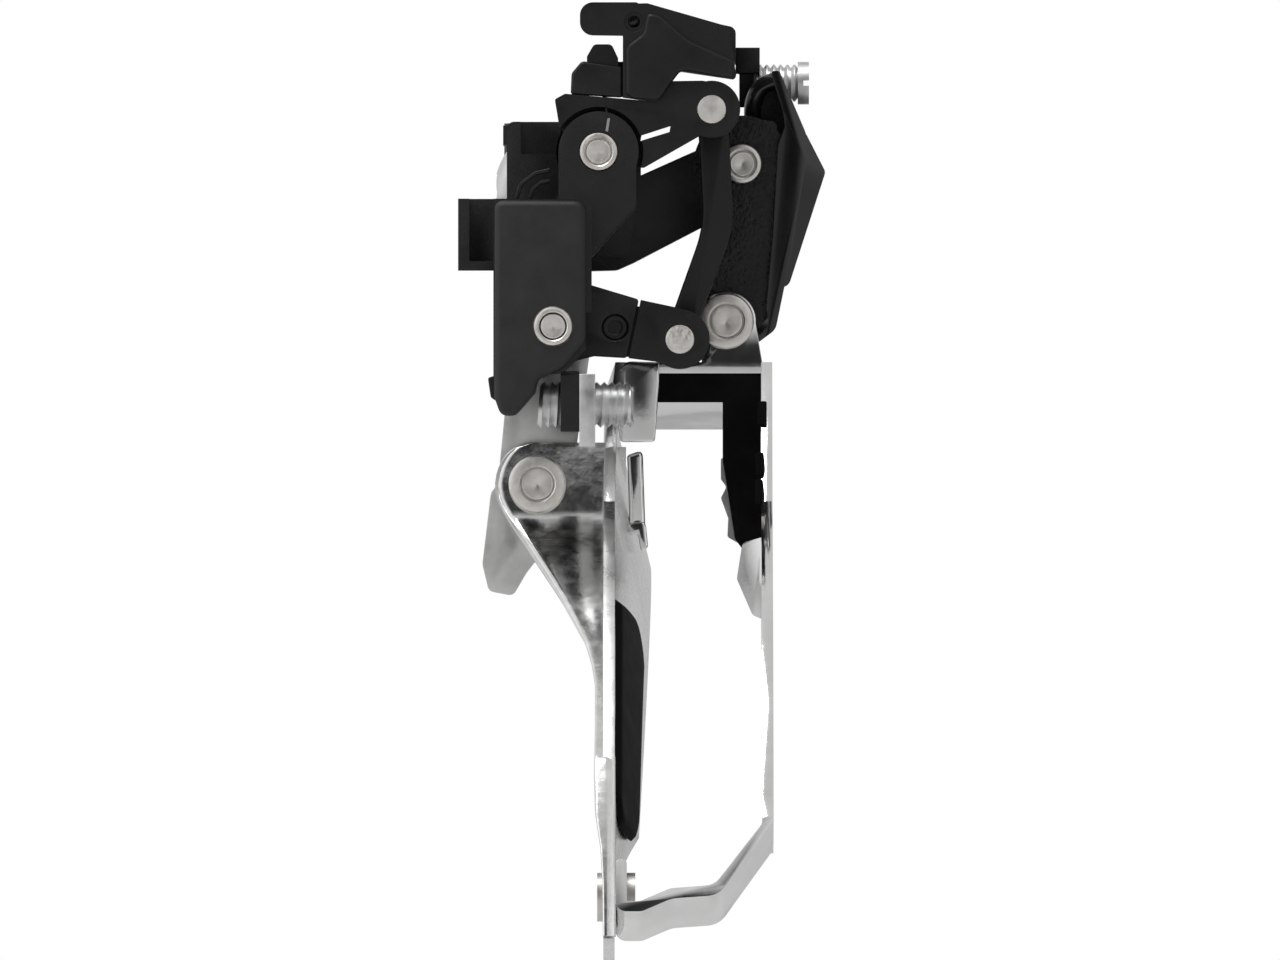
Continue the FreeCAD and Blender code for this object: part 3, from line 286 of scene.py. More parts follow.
FINISHES = (
    Finish(Slot.CASTING, (0.0075, 0.0075, 0.0075), (0.0120, 0.0120, 0.0115), 0.0, (0.42, 0.52), 5200.0, 0.55,
           0.00006, 300.0, 0.06, 0.0001, specular=0.4),
    Finish(Slot.LEVER, (0.0055, 0.0055, 0.0055), (0.0090, 0.0090, 0.0088), 0.0, (0.36, 0.46), 6500.0, 0.35,
           0.00004, 240.0, 0.06, 0.0001, specular=0.38),
    Finish(Slot.COVER, (0.006, 0.006, 0.0065), (0.009, 0.009, 0.0095), 0.0, (0.10, 0.16), 5000.0, 0.04,
           0.00002, 180.0, 0.06, 0.0002, coat=0.6),
    Finish(Slot.PAD, (0.006, 0.006, 0.006), (0.009, 0.009, 0.009), 0.0, (0.50, 0.60), 6000.0, 0.10,
           0.00003, 300.0, 0.06, 0.0002, specular=0.015),
    Finish(Slot.INSERT, (0.36, 0.37, 0.36), (0.52, 0.53, 0.51), 0.0, (0.25, 0.40), 4000.0, 0.15,
           0.00004, 500.0, 0.2, 0.0003, transmission=0.25),
    Finish(Slot.CHROME, (0.80, 0.80, 0.79), (0.90, 0.90, 0.89), 1.0, (0.05, 0.13), 5000.0, 0.04,
           0.00002, 150.0, 0.06, 0.0004),
    Finish(Slot.LINK, (0.60, 0.60, 0.585), (0.74, 0.74, 0.72), 1.0, (0.30, 0.42), 5200.0, 0.22,
           0.00004, 260.0, 0.12, 0.0003),
    Finish(Slot.PIN, (0.62, 0.60, 0.57), (0.74, 0.72, 0.69), 1.0, (0.28, 0.40), 5000.0, 0.12),
    Finish(Slot.SCREW, (0.70, 0.71, 0.70), (0.84, 0.85, 0.84), 1.0, (0.30, 0.42), 5000.0, 0.10,
           0.00003, 600.0, 0.10, 0.0002),
    Finish(Slot.BOLT, (0.78, 0.78, 0.78), (0.88, 0.88, 0.88), 1.0, (0.18, 0.28), 5000.0, 0.06),
    Finish(Slot.BUSH, (0.34, 0.25, 0.13), (0.46, 0.36, 0.20), 1.0, (0.30, 0.42), 5000.0, 0.12),
    Finish(Slot.SPRING, (0.010, 0.010, 0.010), (0.016, 0.016, 0.016), 0.0, (0.18, 0.30), 5000.0, 0.08,
           coat=0.3),
)


class Finishes:
    """Every finish of the object, made once."""

    def __init__(self) -> None:
        """Build the shared finishes."""
        self.made = {finish.slot: finish.build() for finish in FINISHES}
        self.slot_of = {part["node"]: part["material_slot"] for part in frame["record"]["subparts"]}

    def of(self, slot: Slot) -> bpy.types.Material:
        """Return the material of a slot."""
        return self.made[slot]

    def dress_nodes(self) -> None:
        """Give every CAD node the finish of its slot."""
        for name, node in frame["nodes"].items():
            node.data.materials.clear()
            node.data.materials.append(self.made[Slot(self.slot_of[name])])


# ---------------------------------------------------------------- mesh work
def body_of(node: str) -> str:
    """Return the body that a CAD node belongs to."""
    groups = frame["record"]["behaviour"]["bodies"]
    return next(body for body, members in groups.items() if node in members)


def piece_from(name: str, mesh: bmesh.types.BMesh, material: bpy.types.Material) -> bpy.types.Object:
    """Turn a bmesh into an object at the origin.

    Args:
        name: The piece's name.
        mesh: The bmesh, which is freed.
        material: Its material.

    Returns:
        The object.
    """
    data = bpy.data.meshes.new(name)
    mesh.to_mesh(data)
    mesh.free()
    made = bpy.data.objects.new(name, data)
    bpy.context.scene.collection.objects.link(made)
    data.materials.append(material)
    return made


def settle(piece: bpy.types.Object) -> None:
    """Apply the modifiers of a piece.

    Args:
        piece: The object, which keeps its name and material.
    """
    graph = bpy.context.evaluated_depsgraph_get()
    mesh = bpy.data.meshes.new_from_object(piece.evaluated_get(graph))
    piece.modifiers.clear()
    piece.data = mesh


def rounded(points: Sequence[tuple[float, ...]], default: float = 0.0, steps: int = 6) -> list[Vector]:
    """Round the corners of a flat outline.

    Args:
        points: (a, b) or (a, b, corner radius) of each corner, in millimetres.
        default: Radius of the corners that name none.
        steps: Points on each corner.

    Returns:
        The outline as flat vectors in millimetres.
    """
    outline = []
    corners = [Vector(point[:2]) for point in points]
    for index, point in enumerate(points):
        here = corners[index]
        radius = point[2] if len(point) > 2 else default
        before = corners[index - 1] - here
        after = corners[(index + 1) % len(corners)] - here
        half = before.angle(after) / 2
        reach = min(radius / math.tan(half), before.length * 0.49, after.length * 0.49) if radius else 0.0
        if reach < 1e-4:
            outline.append(here)
            continue
        start = here + before.normalized() * reach
        end = here + after.normalized() * reach
        for step in range(steps + 1):
            t = step / steps
            outline.append(start.lerp(here, t).lerp(here.lerp(end, t), t))
    return outline


def finished(piece: bpy.types.Object, body: str, nodes: Sequence[str] = (),
             sharp: float = 38.0) -> bpy.types.Object:
    """Smooth a piece, and say what it rides on and stands for.

    Args:
        piece: The piece, with its modifiers still live.
        body: The body that it rides on.
        nodes: The CAD nodes that it stands for.
        sharp: Edges over this many degrees stay sharp.

    Returns:
        The piece.
    """
    if piece.modifiers:
        settle(piece)
    for polygon in piece.data.polygons:
        polygon.use_smooth = True
    piece.data.set_sharp_from_angle(angle=math.radians(sharp))
    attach(piece, body)
    if nodes:
        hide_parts(*nodes)
    LOG.info("%s: %d faces", piece.name, len(piece.data.polygons))
    return piece


def soften(piece: bpy.types.Object, width: float, segments: int = 3, angle: float = 28.0) -> None:
    """Round the edges of a piece.

    Args:
        piece: The piece.
        width: Width of the rounding, in metres.
        segments: Steps across it.
        angle: Edges over this many degrees are rounded.
    """
    bevel = piece.modifiers.new("edges", "BEVEL")
    bevel.width = width
    bevel.segments = segments
    bevel.limit_method = "ANGLE"
    bevel.angle_limit = math.radians(angle)
    bevel.use_clamp_overlap = True


def skin(mesh: bmesh.types.BMesh, grid: Sequence[Sequence[bmesh.types.BMVert]], front: Vector) -> None:
    """Span a grid of corners with faces.

    Args:
        mesh: The bmesh that holds the corners.
        grid: Its rows.
        front: The way that the sheet faces as a whole.
    """
    for first, second in zip(grid, grid[1:]):
        for k in range(len(first) - 1):
            mesh.faces.new((first[k], first[k + 1], second[k + 1], second[k]))
    bmesh.ops.recalc_face_normals(mesh, faces=mesh.faces)
    if sum(face.normal.dot(front) for face in mesh.faces) < 0:
        bmesh.ops.reverse_faces(mesh, faces=mesh.faces)


def thicken(piece: bpy.types.Object, name: str, thickness: float) -> None:
    """Give a sheet its thickness, behind its face.

    Args:
        piece: The sheet.
        name: The modifier's name.
        thickness: In metres.
    """
    wall = piece.modifiers.new(name, "SOLIDIFY")
    wall.thickness = thickness
    wall.offset = -1.0


@dataclass(frozen=True)
class Slab:
    """A flat piece with a rounded outline in X and Z, and soft edges."""

    name: str
    body: str
    slot: Slot
    outline: tuple[tuple[float, ...], ...]
    near: float
    far: float
    corner: float = 0.3
    edge: float = 0.12
    finish: Finish | None = None

    def build(self, finishes: Finishes) -> bpy.types.Object:
        """Make the piece.

        Args:
            finishes: The object's finishes.

        Returns:
            The piece.
        """
        mesh = bmesh.new()
        ring = [mesh.verts.new((point.x * MM, self.near * MM, point.y * MM))
                for point in rounded(self.outline, self.corner)]
        face = mesh.faces.new(ring)
        grown = bmesh.ops.extrude_face_region(mesh, geom=[face])
        moved = [item for item in grown["geom"] if isinstance(item, bmesh.types.BMVert)]
        bmesh.ops.translate(mesh, verts=moved, vec=(0.0, (self.far - self.near) * MM, 0.0))
        bmesh.ops.recalc_face_normals(mesh, faces=mesh.faces)
        material = self.finish.build(self.name + "_finish") if self.finish else finishes.of(self.slot)
        piece = piece_from(self.name, mesh, material)
        soften(piece, self.edge * MM, 4, 50.0)
        return finished(piece, self.body)


def lathe(profile: Sequence[tuple[float, float]], place: Vector, steps: int = PIN_STEPS) -> bmesh.types.BMesh:
    """Turn a profile about an axis along Y.

    Args:
        profile: (radius, distance along the axis) in millimetres, from the axis and back to it.
        place: A point of the axis, in metres.
        steps: Faces round it.

    Returns:
        The closed mesh.
    """
    mesh = bmesh.new()
    ring: list[list[bmesh.types.BMVert]] = []
    for radius, along in profile:
        if radius < 1e-6:
            spots = [(0.0, 0.0)]
        else:
            spots = [(radius * math.cos(math.tau * k / steps), radius * math.sin(math.tau * k / steps))
                     for k in range(steps)]
        ring.append([mesh.verts.new(place + Vector((a, along, b)) * MM) for a, b in spots])
    for first, second in zip(ring, ring[1:]):
        for k in range(steps):
            quad = [first[k % len(first)], first[(k + 1) % len(first)],
                    second[(k + 1) % len(second)], second[k % len(second)]]
            kept = list(dict.fromkeys(quad))
            if len(kept) > 2:
                mesh.faces.new(kept)
    bmesh.ops.recalc_face_normals(mesh, faces=mesh.faces)
    return mesh


def tube(path: Sequence[Vector], radius: float) -> bmesh.types.BMesh:
    """Sweep a round wire along a smooth path.

    Args:
        path: Points in metres that the wire passes near.
        radius: Of the wire, in metres.

    Returns:
        The closed mesh.
    """
    curve = bpy.data.curves.new("wire", "CURVE")
    curve.dimensions = "3D"
    spline = curve.splines.new("NURBS")
    spline.points.add(len(path) - 1)
    for point, spot in zip(spline.points, path):
        point.co = (*spot, 1.0)
    spline.order_u = 3
    spline.use_endpoint_u = True
    spline.resolution_u = 10
    curve.bevel_depth = radius
    curve.bevel_resolution = 3
    curve.use_fill_caps = True
    made = bpy.data.objects.new("wire", curve)
    bpy.context.scene.collection.objects.link(made)
    data = bpy.data.meshes.new_from_object(made.evaluated_get(bpy.context.evaluated_depsgraph_get()))
    bpy.data.objects.remove(made)
    mesh = bmesh.new()
    mesh.from_mesh(data)
    bmesh.ops.recalc_face_normals(mesh, faces=mesh.faces)
    return mesh


class HelixTree:
    """A Geometry Nodes tree that winds a thread or a spring."""

    def __init__(self, name: str, material: bpy.types.Material) -> None:
        """Build the tree.

        Args:
            name: The tree's name.
            material: What the winding is finished in.
        """
        self.tree = bpy.data.node_groups.new(name, "GeometryNodeTree")
        face = self.tree.interface
        face.new_socket("Geometry", in_out="OUTPUT", socket_type="NodeSocketGeometry")
        kinds = {"Radius": "NodeSocketFloat", "Turns": "NodeSocketFloat", "Length": "NodeSocketFloat",
                 "Wire": "NodeSocketFloat", "Corners": "NodeSocketInt", "Core": "NodeSocketFloat",
                 "Turn": "NodeSocketVector", "Place": "NodeSocketVector"}
        self.sockets = {key: face.new_socket(key, in_out="INPUT", socket_type=kind).identifier
                        for key, kind in kinds.items()}
        new = self.tree.nodes.new
        join = self.tree.links.new
        given = new("NodeGroupInput").outputs
        spiral = new("GeometryNodeCurveSpiral")
        spiral.inputs["Resolution"].default_value = TURN_STEPS
        wire = new("GeometryNodeCurvePrimitiveCircle")
        # without this the section turns about the wire as it winds, and the crest wanders
        upright = new("GeometryNodeSetCurveNormal")
        upright.mode = "Z_UP"
        sweep = new("GeometryNodeCurveToMesh")
        sweep.inputs["Fill Caps"].default_value = True
        core = new("GeometryNodeMeshCylinder")
        core.inputs["Vertices"].default_value = CORE_STEPS
        half = new("ShaderNodeMath")
        half.operation = "MULTIPLY"
        half.inputs[1].default_value = 0.5
        lift = new("ShaderNodeCombineXYZ")
        raise_core = new("GeometryNodeTransform")
        both = new("GeometryNodeJoinGeometry")
        place = new("GeometryNodeTransform")
        real = new("GeometryNodeRealizeInstances")
        dress = new("GeometryNodeSetMaterial")
        dress.inputs["Material"].default_value = material
        out = new("NodeGroupOutput")
        join(given["Radius"], spiral.inputs["Start Radius"])
        join(given["Radius"], spiral.inputs["End Radius"])
        join(given["Turns"], spiral.inputs["Rotations"])
        join(given["Length"], spiral.inputs["Height"])
        join(given["Corners"], wire.inputs["Resolution"])
        join(given["Wire"], wire.inputs["Radius"])
        join(spiral.outputs["Curve"], upright.inputs["Curve"])
        join(upright.outputs["Curve"], sweep.inputs["Curve"])
        join(wire.outputs["Curve"], sweep.inputs["Profile Curve"])
        join(given["Core"], core.inputs["Radius"])
        join(given["Length"], core.inputs["Depth"])
        join(given["Length"], half.inputs[0])
        join(half.outputs["Value"], lift.inputs["Z"])
        join(core.outputs["Mesh"], raise_core.inputs["Geometry"])
        join(lift.outputs["Vector"], raise_core.inputs["Translation"])
        join(sweep.outputs["Mesh"], both.inputs["Geometry"])
        join(raise_core.outputs["Geometry"], both.inputs["Geometry"])
        join(both.outputs["Geometry"], place.inputs["Geometry"])
        join(given["Turn"], place.inputs["Rotation"])
        join(given["Place"], place.inputs["Translation"])
        join(place.outputs["Geometry"], real.inputs["Geometry"])
        join(real.outputs["Geometry"], dress.inputs["Geometry"])
        join(dress.outputs["Geometry"], out.inputs["Geometry"])

    def wind(self, name: str, **values: object) -> bpy.types.Object:
        """Wind one piece.

        Args:
            name: The piece's name.
            values: The tree's named inputs, in metres and radians.

        Returns:
            A plain mesh object.
        """
        made = bpy.data.objects.new(name, bpy.data.meshes.new(name))
        bpy.context.scene.collection.objects.link(made)
        modifier = made.modifiers.new("winding", "NODES")
        modifier.node_group = self.tree
        for key, value in values.items():
            modifier[self.sockets[key]] = value
        settle(made)
        return made


@dataclass
class Softened:
    """A copy of a CAD node whose edges are rounded the way a casting's or a pressing's are."""

    node: str
    width: float
    finish: bpy.types.Material | None = None

    def build(self, finishes: Finishes) -> bpy.types.Object:
        """Make the piece and let it stand for its node.

        Args:
            finishes: The object's finishes.

        Returns:
            The piece.
        """
        mesh = bmesh.new()
        mesh.from_mesh(frame["nodes"][self.node].data)
        bmesh.ops.remove_doubles(mesh, verts=mesh.verts, dist=JOIN_WITHIN)
        bmesh.ops.dissolve_limit(mesh, angle_limit=FLAT_WITHIN, verts=mesh.verts, edges=mesh.edges)
        slot = finishes.slot_of[self.node]
        piece = piece_from(self.node + "_soft", mesh, self.finish or finishes.of(Slot(slot)))
        soften(piece, self.width)
        return finished(piece, body_of(self.node), (self.node,))


# ---------------------------------------------------------------- sub-assemblies
# CAD nodes whose edges are softened, and the width of the rounding
SOFT_EDGES: tuple[tuple[str, float], ...] = (
    ("bracket", 0.30 * MM),
    ("thread_tab", 0.12 * MM),
    ("nut_plate", 0.12 * MM),
    ("cable_lever", 0.32 * MM),
    ("clamp_cap", 0.32 * MM),
    ("clamp_block", 0.30 * MM),
    ("screw_carrier", 0.25 * MM),
    ("connecting_rod", 0.28 * MM),
    ("inner_link", 0.35 * MM),
    ("drive_arm_root", 0.30 * MM),
    ("drive_arm_tip", 0.30 * MM),
    ("link_cover", 0.55 * MM),
    ("outer_plate", 0.30 * MM),
    ("outer_liner", 0.25 * MM),
    ("liner_insert", 0.20 * MM),
)


@dataclass
class Castings:
    """Every casting and pressing with its edges softened."""

    edges: tuple[tuple[str, float], ...] = SOFT_EDGES

    def build(self, finishes: Finishes) -> None:
        """Make all of them.

        Args:
            finishes: The object's finishes.
        """
        for node, width in self.edges:
            Softened(node, width).build(finishes)
        Softened("inner_plate", 0.30 * MM, finish=PLATE_CHROME.build("inner_plate_finish")).build(finishes)
        Softened("outer_link", 0.45 * MM, finish=LINK_CAST.build("outer_link_finish")).build(finishes)


@dataclass(frozen=True)
class PinFace:
    """A turned pin with a ring face round a sunk core, or with a plain face."""

    node: str
    ring: float
    core: float
    recess: float = 0.22
    rise: float = 0.0
    knurled: bool = False
    groove: float = 0.30
    lip: float = 0.12
    chamfer: float = 0.10
    head: float = 0.7

    def face(self) -> list[tuple[float, float]]:
        """Return the profile of the face that shows.

        Returns:
            (radius, distance along the axis), from the axis to the rim, in millimetres.
        """
        back = -self.rise
        core, ring, lip = self.core, self.ring, self.lip
        if not self.recess:
            return [(0.0, back), (ring - lip, back), (ring - 0.03, back + 0.04), (ring, back + 0.14)]
        deep = back + self.recess
        return [(0.0, deep + 0.05), (0.10, deep), (core * 0.70, deep + 0.03), (core * 0.80, deep),
                (core - 0.20, deep + 0.04), (core - 0.13, deep + self.groove),
                (core - 0.04, deep + self.groove), (core, back + self.chamfer), (core + lip, back),
                (ring - 0.34, back), (ring - lip, back + self.chamfer), (ring, back + 0.32)]

    def build(self) -> bpy.types.Object:
        """Turn the pin.

        Returns:
            The pin.
        """
        low, high = (Vector(corner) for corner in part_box(self.node))
        centre = (low + high) / 2
        place = Vector((centre.x, low.y, centre.z))
        length = (high.y - low.y) / MM
        shank = min(self.core + 0.05, self.ring * 0.75)
        profile = self.face() + [(self.ring, self.head), (shank, self.head), (shank, length - self.lip),
                                 (shank - self.lip, length), (0.0, length)]
        finish = TurnedFinish(self.node + "_turned", tuple(centre), knurled=self.knurled).build()
        piece = piece_from(self.node + "_turned", lathe(profile, place), finish)
        return finished(piece, body_of(self.node), (self.node,), 30.0)


@dataclass
class Pins:
    """Every pin of the linkage."""

    faces: tuple[PinFace, ...] = (
        PinFace("lever_pin", 2.10, 1.50),
        PinFace("inner_link_upper_pin", 2.14, 1.50, rise=0.92),
        PinFace("outer_link_upper_pin", 2.14, 1.50),
        PinFace("outer_cage_pin", 2.96, 1.90, 0.35),
        PinFace("inner_cage_pin", 3.08, 1.88, 0.35),
        PinFace("rod_upper_pin", 1.54, 1.0, 0.0),
        PinFace("rod_lower_pin", 1.56, 1.0, 0.0, knurled=True),
    )

    def build(self, _finishes: Finishes) -> None:
        """Turn all of them. Each pin has a finish of its own."""
        for face in self.faces:
            face.build()


@dataclass
class SupportScrew:
    """The support screw, with a wound thread."""

    node: str = "support_screw"
    pitch: float = 0.80 * MM
    crest: float = 0.42 * MM
    # shares of the crest: the winding's end, and how far it and the core lie inside the screw's radius
    end_share: float = 0.9
    winding_share: float = 1.06
    core_share: float = 1.02

    def build(self, finishes: Finishes) -> None:
        """Wind the thread along X.

        Args:
            finishes: The object's finishes.
        """
        low, high = (Vector(corner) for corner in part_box(self.node))
        radius = (high.z - low.z) / 2
        inset = self.crest * self.end_share
        length = high.x - low.x - 2 * inset
        tree = HelixTree(self.node + "_thread", finishes.of(Slot.SCREW))
        screw = tree.wind(self.node + "_thread", Radius=radius - self.crest * self.winding_share,
                          Turns=length / self.pitch, Length=length, Wire=self.crest, Corners=4,
                          Core=radius - self.crest * self.core_share, Turn=(0.0, math.pi / 2, 0.0),
                          Place=(low.x + inset, (low.y + high.y) / 2, (low.z + high.z) / 2))
        finished(screw, self.node, (self.node,), 30.0)


@dataclass
class ReturnSpring:
    """Coil between the bracket's ears, with the leg that shows above the outer link."""

    wire: float = 0.70 * MM
    turns: float = 3.5
    core: float = 0.2 * MM
    leg_share: float = 1.35
    leg: tuple[tuple[float, float, float], ...] = (
        (26.6, 1.5, 6.6), (26.3, 1.0, 8.6), (26.7, 0.4, 10.6), (27.6, 0.0, 11.7), (28.9, -0.4, 12.1))

    def build(self, finishes: Finishes) -> None:
        """Wind the coil and bend its leg.

        Args:
            finishes: The object's finishes.
        """
        low, high = (Vector(corner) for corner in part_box("return_spring"))
        centre = (low + high) / 2
        radius = (high.x - low.x) / 2 - self.wire
        tree = HelixTree("spring_coil", finishes.of(Slot.SPRING))
        coil = tree.wind("return_spring_coil", Radius=radius, Turns=self.turns,
                         Length=high.y - low.y - 2 * self.wire, Wire=self.wire, Corners=16, Core=self.core,
                         Turn=(-math.pi / 2, 0.0, 0.0), Place=(centre.x, low.y + self.wire, centre.z))
        finished(coil, "outer_link", ("return_spring",))
        path = [Vector(point) * MM for point in self.leg]
        leg = piece_from("return_spring_leg", tube(path, self.wire * self.leg_share),
                         finishes.of(Slot.SPRING))
        finished(leg, "outer_link")


@dataclass
class CageShapes:
    """Rolled rear flange of the inner plate, and the skid pad that guides the chain."""

    axis: tuple[float, float] = (23.4, -106.2)
    rim: float = 82.0
    ear_y: float = -10.36
    slope_start: float = -35.1
    slope: float = 1.36
    bend: float = 0.9
    slope_length: float = 20.0
    rim_proud: float = 0.12
    fold_x: float = 10.75
    fold_tilt: float = 0.13
    edge_roll: float = 0.14
    # crown and left roll: the most, and the share of the flange's width
    crown: tuple[float, float] = (0.10, 0.02)
    left_roll: tuple[float, float] = (0.7, 0.09)
    left_roll_least: float = 0.05
    flange_across: int = 28
    flange_along: int = 96
    pad_across: int = 18
    pad_along: int = 60
    pad_rim: float = 0.3
    pad_depth: float = 13.0
    pad_taper: float = 2.6
    pad_proud: float = 0.55
    pad_offset: float = 1.2
    pad_thickness: float = 0.9
    # degrees round the axis: where the pad starts and ends at the rim, and how far each end moves inwards
    pad_start: tuple[float, float] = (40.0, 9.0)
    pad_end: tuple[float, float] = (61.0, 1.6)
    thickness: float = 1.25
    plate_x: float = 10.4
    lean: float = 0.24
    lean_share: float = 0.9
    # (height, left edge, right edge) of the flange, down from the ear
    flange: tuple[tuple[float, float, float], ...] = (
        (-26.85, 2.40, 11.55), (-27.10, 1.20, 11.65), (-27.70, 0.25, 11.70), (-28.60, -0.45, 11.70),
        (-29.80, -1.02, 11.70), (-31.40, -1.30, 11.70), (-33.00, -1.02, 11.70), (-34.40, -0.20, 11.70),
        (-36.50, 1.35, 11.70), (-39.00, 3.05, 11.70), (-41.50, 4.72, 11.70), (-43.70, 6.10, 11.70),
        (-46.00, 7.35, 11.70), (-48.20, 8.50, 11.70), (-50.40, 9.15, 11.70), (-52.60, 9.50, 11.70),
        (-57.00, 9.50, 11.70), (-62.00, 9.40, 11.70), (-66.00, 9.50, 11.72), (-70.00, 10.10, 11.75),
        (-74.00, 10.30, 11.75), (-79.20, 10.35, 11.75))

    def path(self, z: float) -> Vector:
        """Follow the flange's face: a flat ear, a straight slope, then the rim.

        Args:
            z: Height, in millimetres.

        Returns:
            The (Y, Z) of the face there.
        """
        axis_y, axis_z = self.axis
        past = (self.slope_start - z) / self.bend
        bent = math.log1p(math.exp(past)) * self.bend if past < 30 else past * self.bend
        straight = self.ear_y - self.slope * bent
        on_rim = axis_y - math.sqrt(self.rim ** 2 - (z - axis_z) ** 2) - self.rim_proud
        return Vector((max(straight, on_rim) if z < self.slope_start - self.slope_length else straight, z))

    def sink(self, x: float, left: float, right: float) -> float:
        """Return how far a point of the flange lies behind its path: crown, fold and rolled edges.

        Args:
            x: The point's place across.
            left: The flange's left edge.
            right: Its right edge.

        Returns:
            The depth, in millimetres.
        """
        span = right - left
        crown = min(self.crown[0], span * self.crown[1])
        left_roll = min(self.left_roll[0], self.left_roll_least + span * self.left_roll[1])
        deep = crown * (2 * (x - left) / span - 1) ** 2 + max(0.0, x - self.fold_x) * self.fold_tilt
        for roll, gap in ((self.edge_roll, right - x), (left_roll, x - left)):
            if gap < roll:
                deep += roll - math.sqrt(max(0.0, roll ** 2 - (roll - gap) ** 2))
        return deep

    def build_flange(self) -> None:
        """Loft the flange as one sheet, a little crowned, with rolled edges and a fold at the plate."""
        mesh = bmesh.new()
        grid = []
        top, bottom = self.flange[0][0], self.flange[-1][0]
        for step in range(self.flange_along + 1):
            z = top + (bottom - top) * step / self.flange_along
            left, right = self.width_at(z)
            here = self.path(z)
            tangent = (self.path(z - 0.2) - self.path(z + 0.2)).normalized()
            normal = Vector((tangent.y, -tangent.x))
            if normal.x > 0:
                normal = -normal
            row = []
            for k in range(self.flange_across + 1):
                x = left + (right - left) * (0.5 - 0.5 * math.cos(math.pi * k / self.flange_across))
                spot = here - normal * self.sink(x, left, right)
                row.append(mesh.verts.new((x * MM, spot.x * MM, spot.y * MM)))
            grid.append(row)
        skin(mesh, grid, Vector((0.0, -1.0, 0.0)))
        piece = piece_from("inner_plate_flange", mesh, FLANGE_CHROME.build("flange_finish"))
        thicken(piece, "sheet", self.thickness * MM)
        soften(piece, 0.35 * MM, 3, 50.0)
        finished(piece, "cage")

    def width_at(self, z: float) -> tuple[float, float]:
        """Find the flange's edges at a height.

        Args:
            z: Height, in millimetres.

        Returns:
            Left and right edge, in millimetres.
        """
        for (high, *first), (low, *second) in zip(self.flange, self.flange[1:]):
            if z >= low - 1e-6:
                t = (high - z) / (high - low)
                return tuple(a + (b - a) * t for a, b in zip(first, second))
        return self.flange[-1][1:]

    def wall_point(self, angle: float, depth: float, proud: float) -> Vector:
        """Return a point on the chain side of the inner plate.

        Args:
            angle: Degrees behind the chainring axis.
            depth: Inward from the rim.
            proud: Off the plate's face.

        Returns:
            The point, in metres.
        """
        radius = self.rim - depth
        turn = math.radians(angle)
        x = self.plate_x + self.pad_offset + self.lean * self.lean_share * depth + proud
        along = (self.axis[0] - radius * math.sin(turn), self.axis[1] + radius * math.cos(turn))
        return Vector((x, *along)) * MM

    def pad_point(self, u: float, v: float) -> Vector:
        """Return a point of the skid pad.

        Args:
            u: Share of the way along it, from its top.
            v: Share of the way in from the rim.

        Returns:
            The point, in metres.
        """
        depth = self.pad_rim + (self.pad_depth - self.pad_taper * u) * v
        start = self.pad_start[0] - self.pad_start[1] * v
        end = self.pad_end[0] - self.pad_end[1] * v * v
        round_top = 7.0 * max(0.0, (v - 0.62) / 0.38) ** 2.2
        round_low = 4.2 * max(0.0, (v - 0.72) / 0.28) ** 2.2 + 2.4 * max(0.0, (0.22 - v) / 0.22) ** 2
        angle = (start + round_top) + ((end - round_low) - (start + round_top)) * u
        fade = min(1.0, min(u, 1 - u) * 22.0, min(v, 1 - v) * 9.0)
        return self.wall_point(angle, depth, self.pad_proud * math.sqrt(max(0.0, 1 - (1 - fade) ** 2)))

    def build_pad(self, finishes: Finishes) -> None:
        """Loft the skid pad: a crowned strip with a round upper corner.

        Args:
            finishes: The object's finishes.
        """
        mesh = bmesh.new()
        grid = [[mesh.verts.new(self.pad_point(i / self.pad_along, j / self.pad_across))
                 for j in range(self.pad_across + 1)] for i in range(self.pad_along + 1)]
        skin(mesh, grid, Vector((1.0, 0.0, 0.0)))
        piece = piece_from("inner_skid_pad_face", mesh, finishes.of(Slot.PAD))
        thicken(piece, "body", self.pad_thickness * MM)
        finished(piece, "cage", ("inner_skid_pad",), 50.0)

    def build(self, finishes: Finishes) -> None:
        """Make the flange and the pad."""
        self.build_flange()
        self.build_pad(finishes)


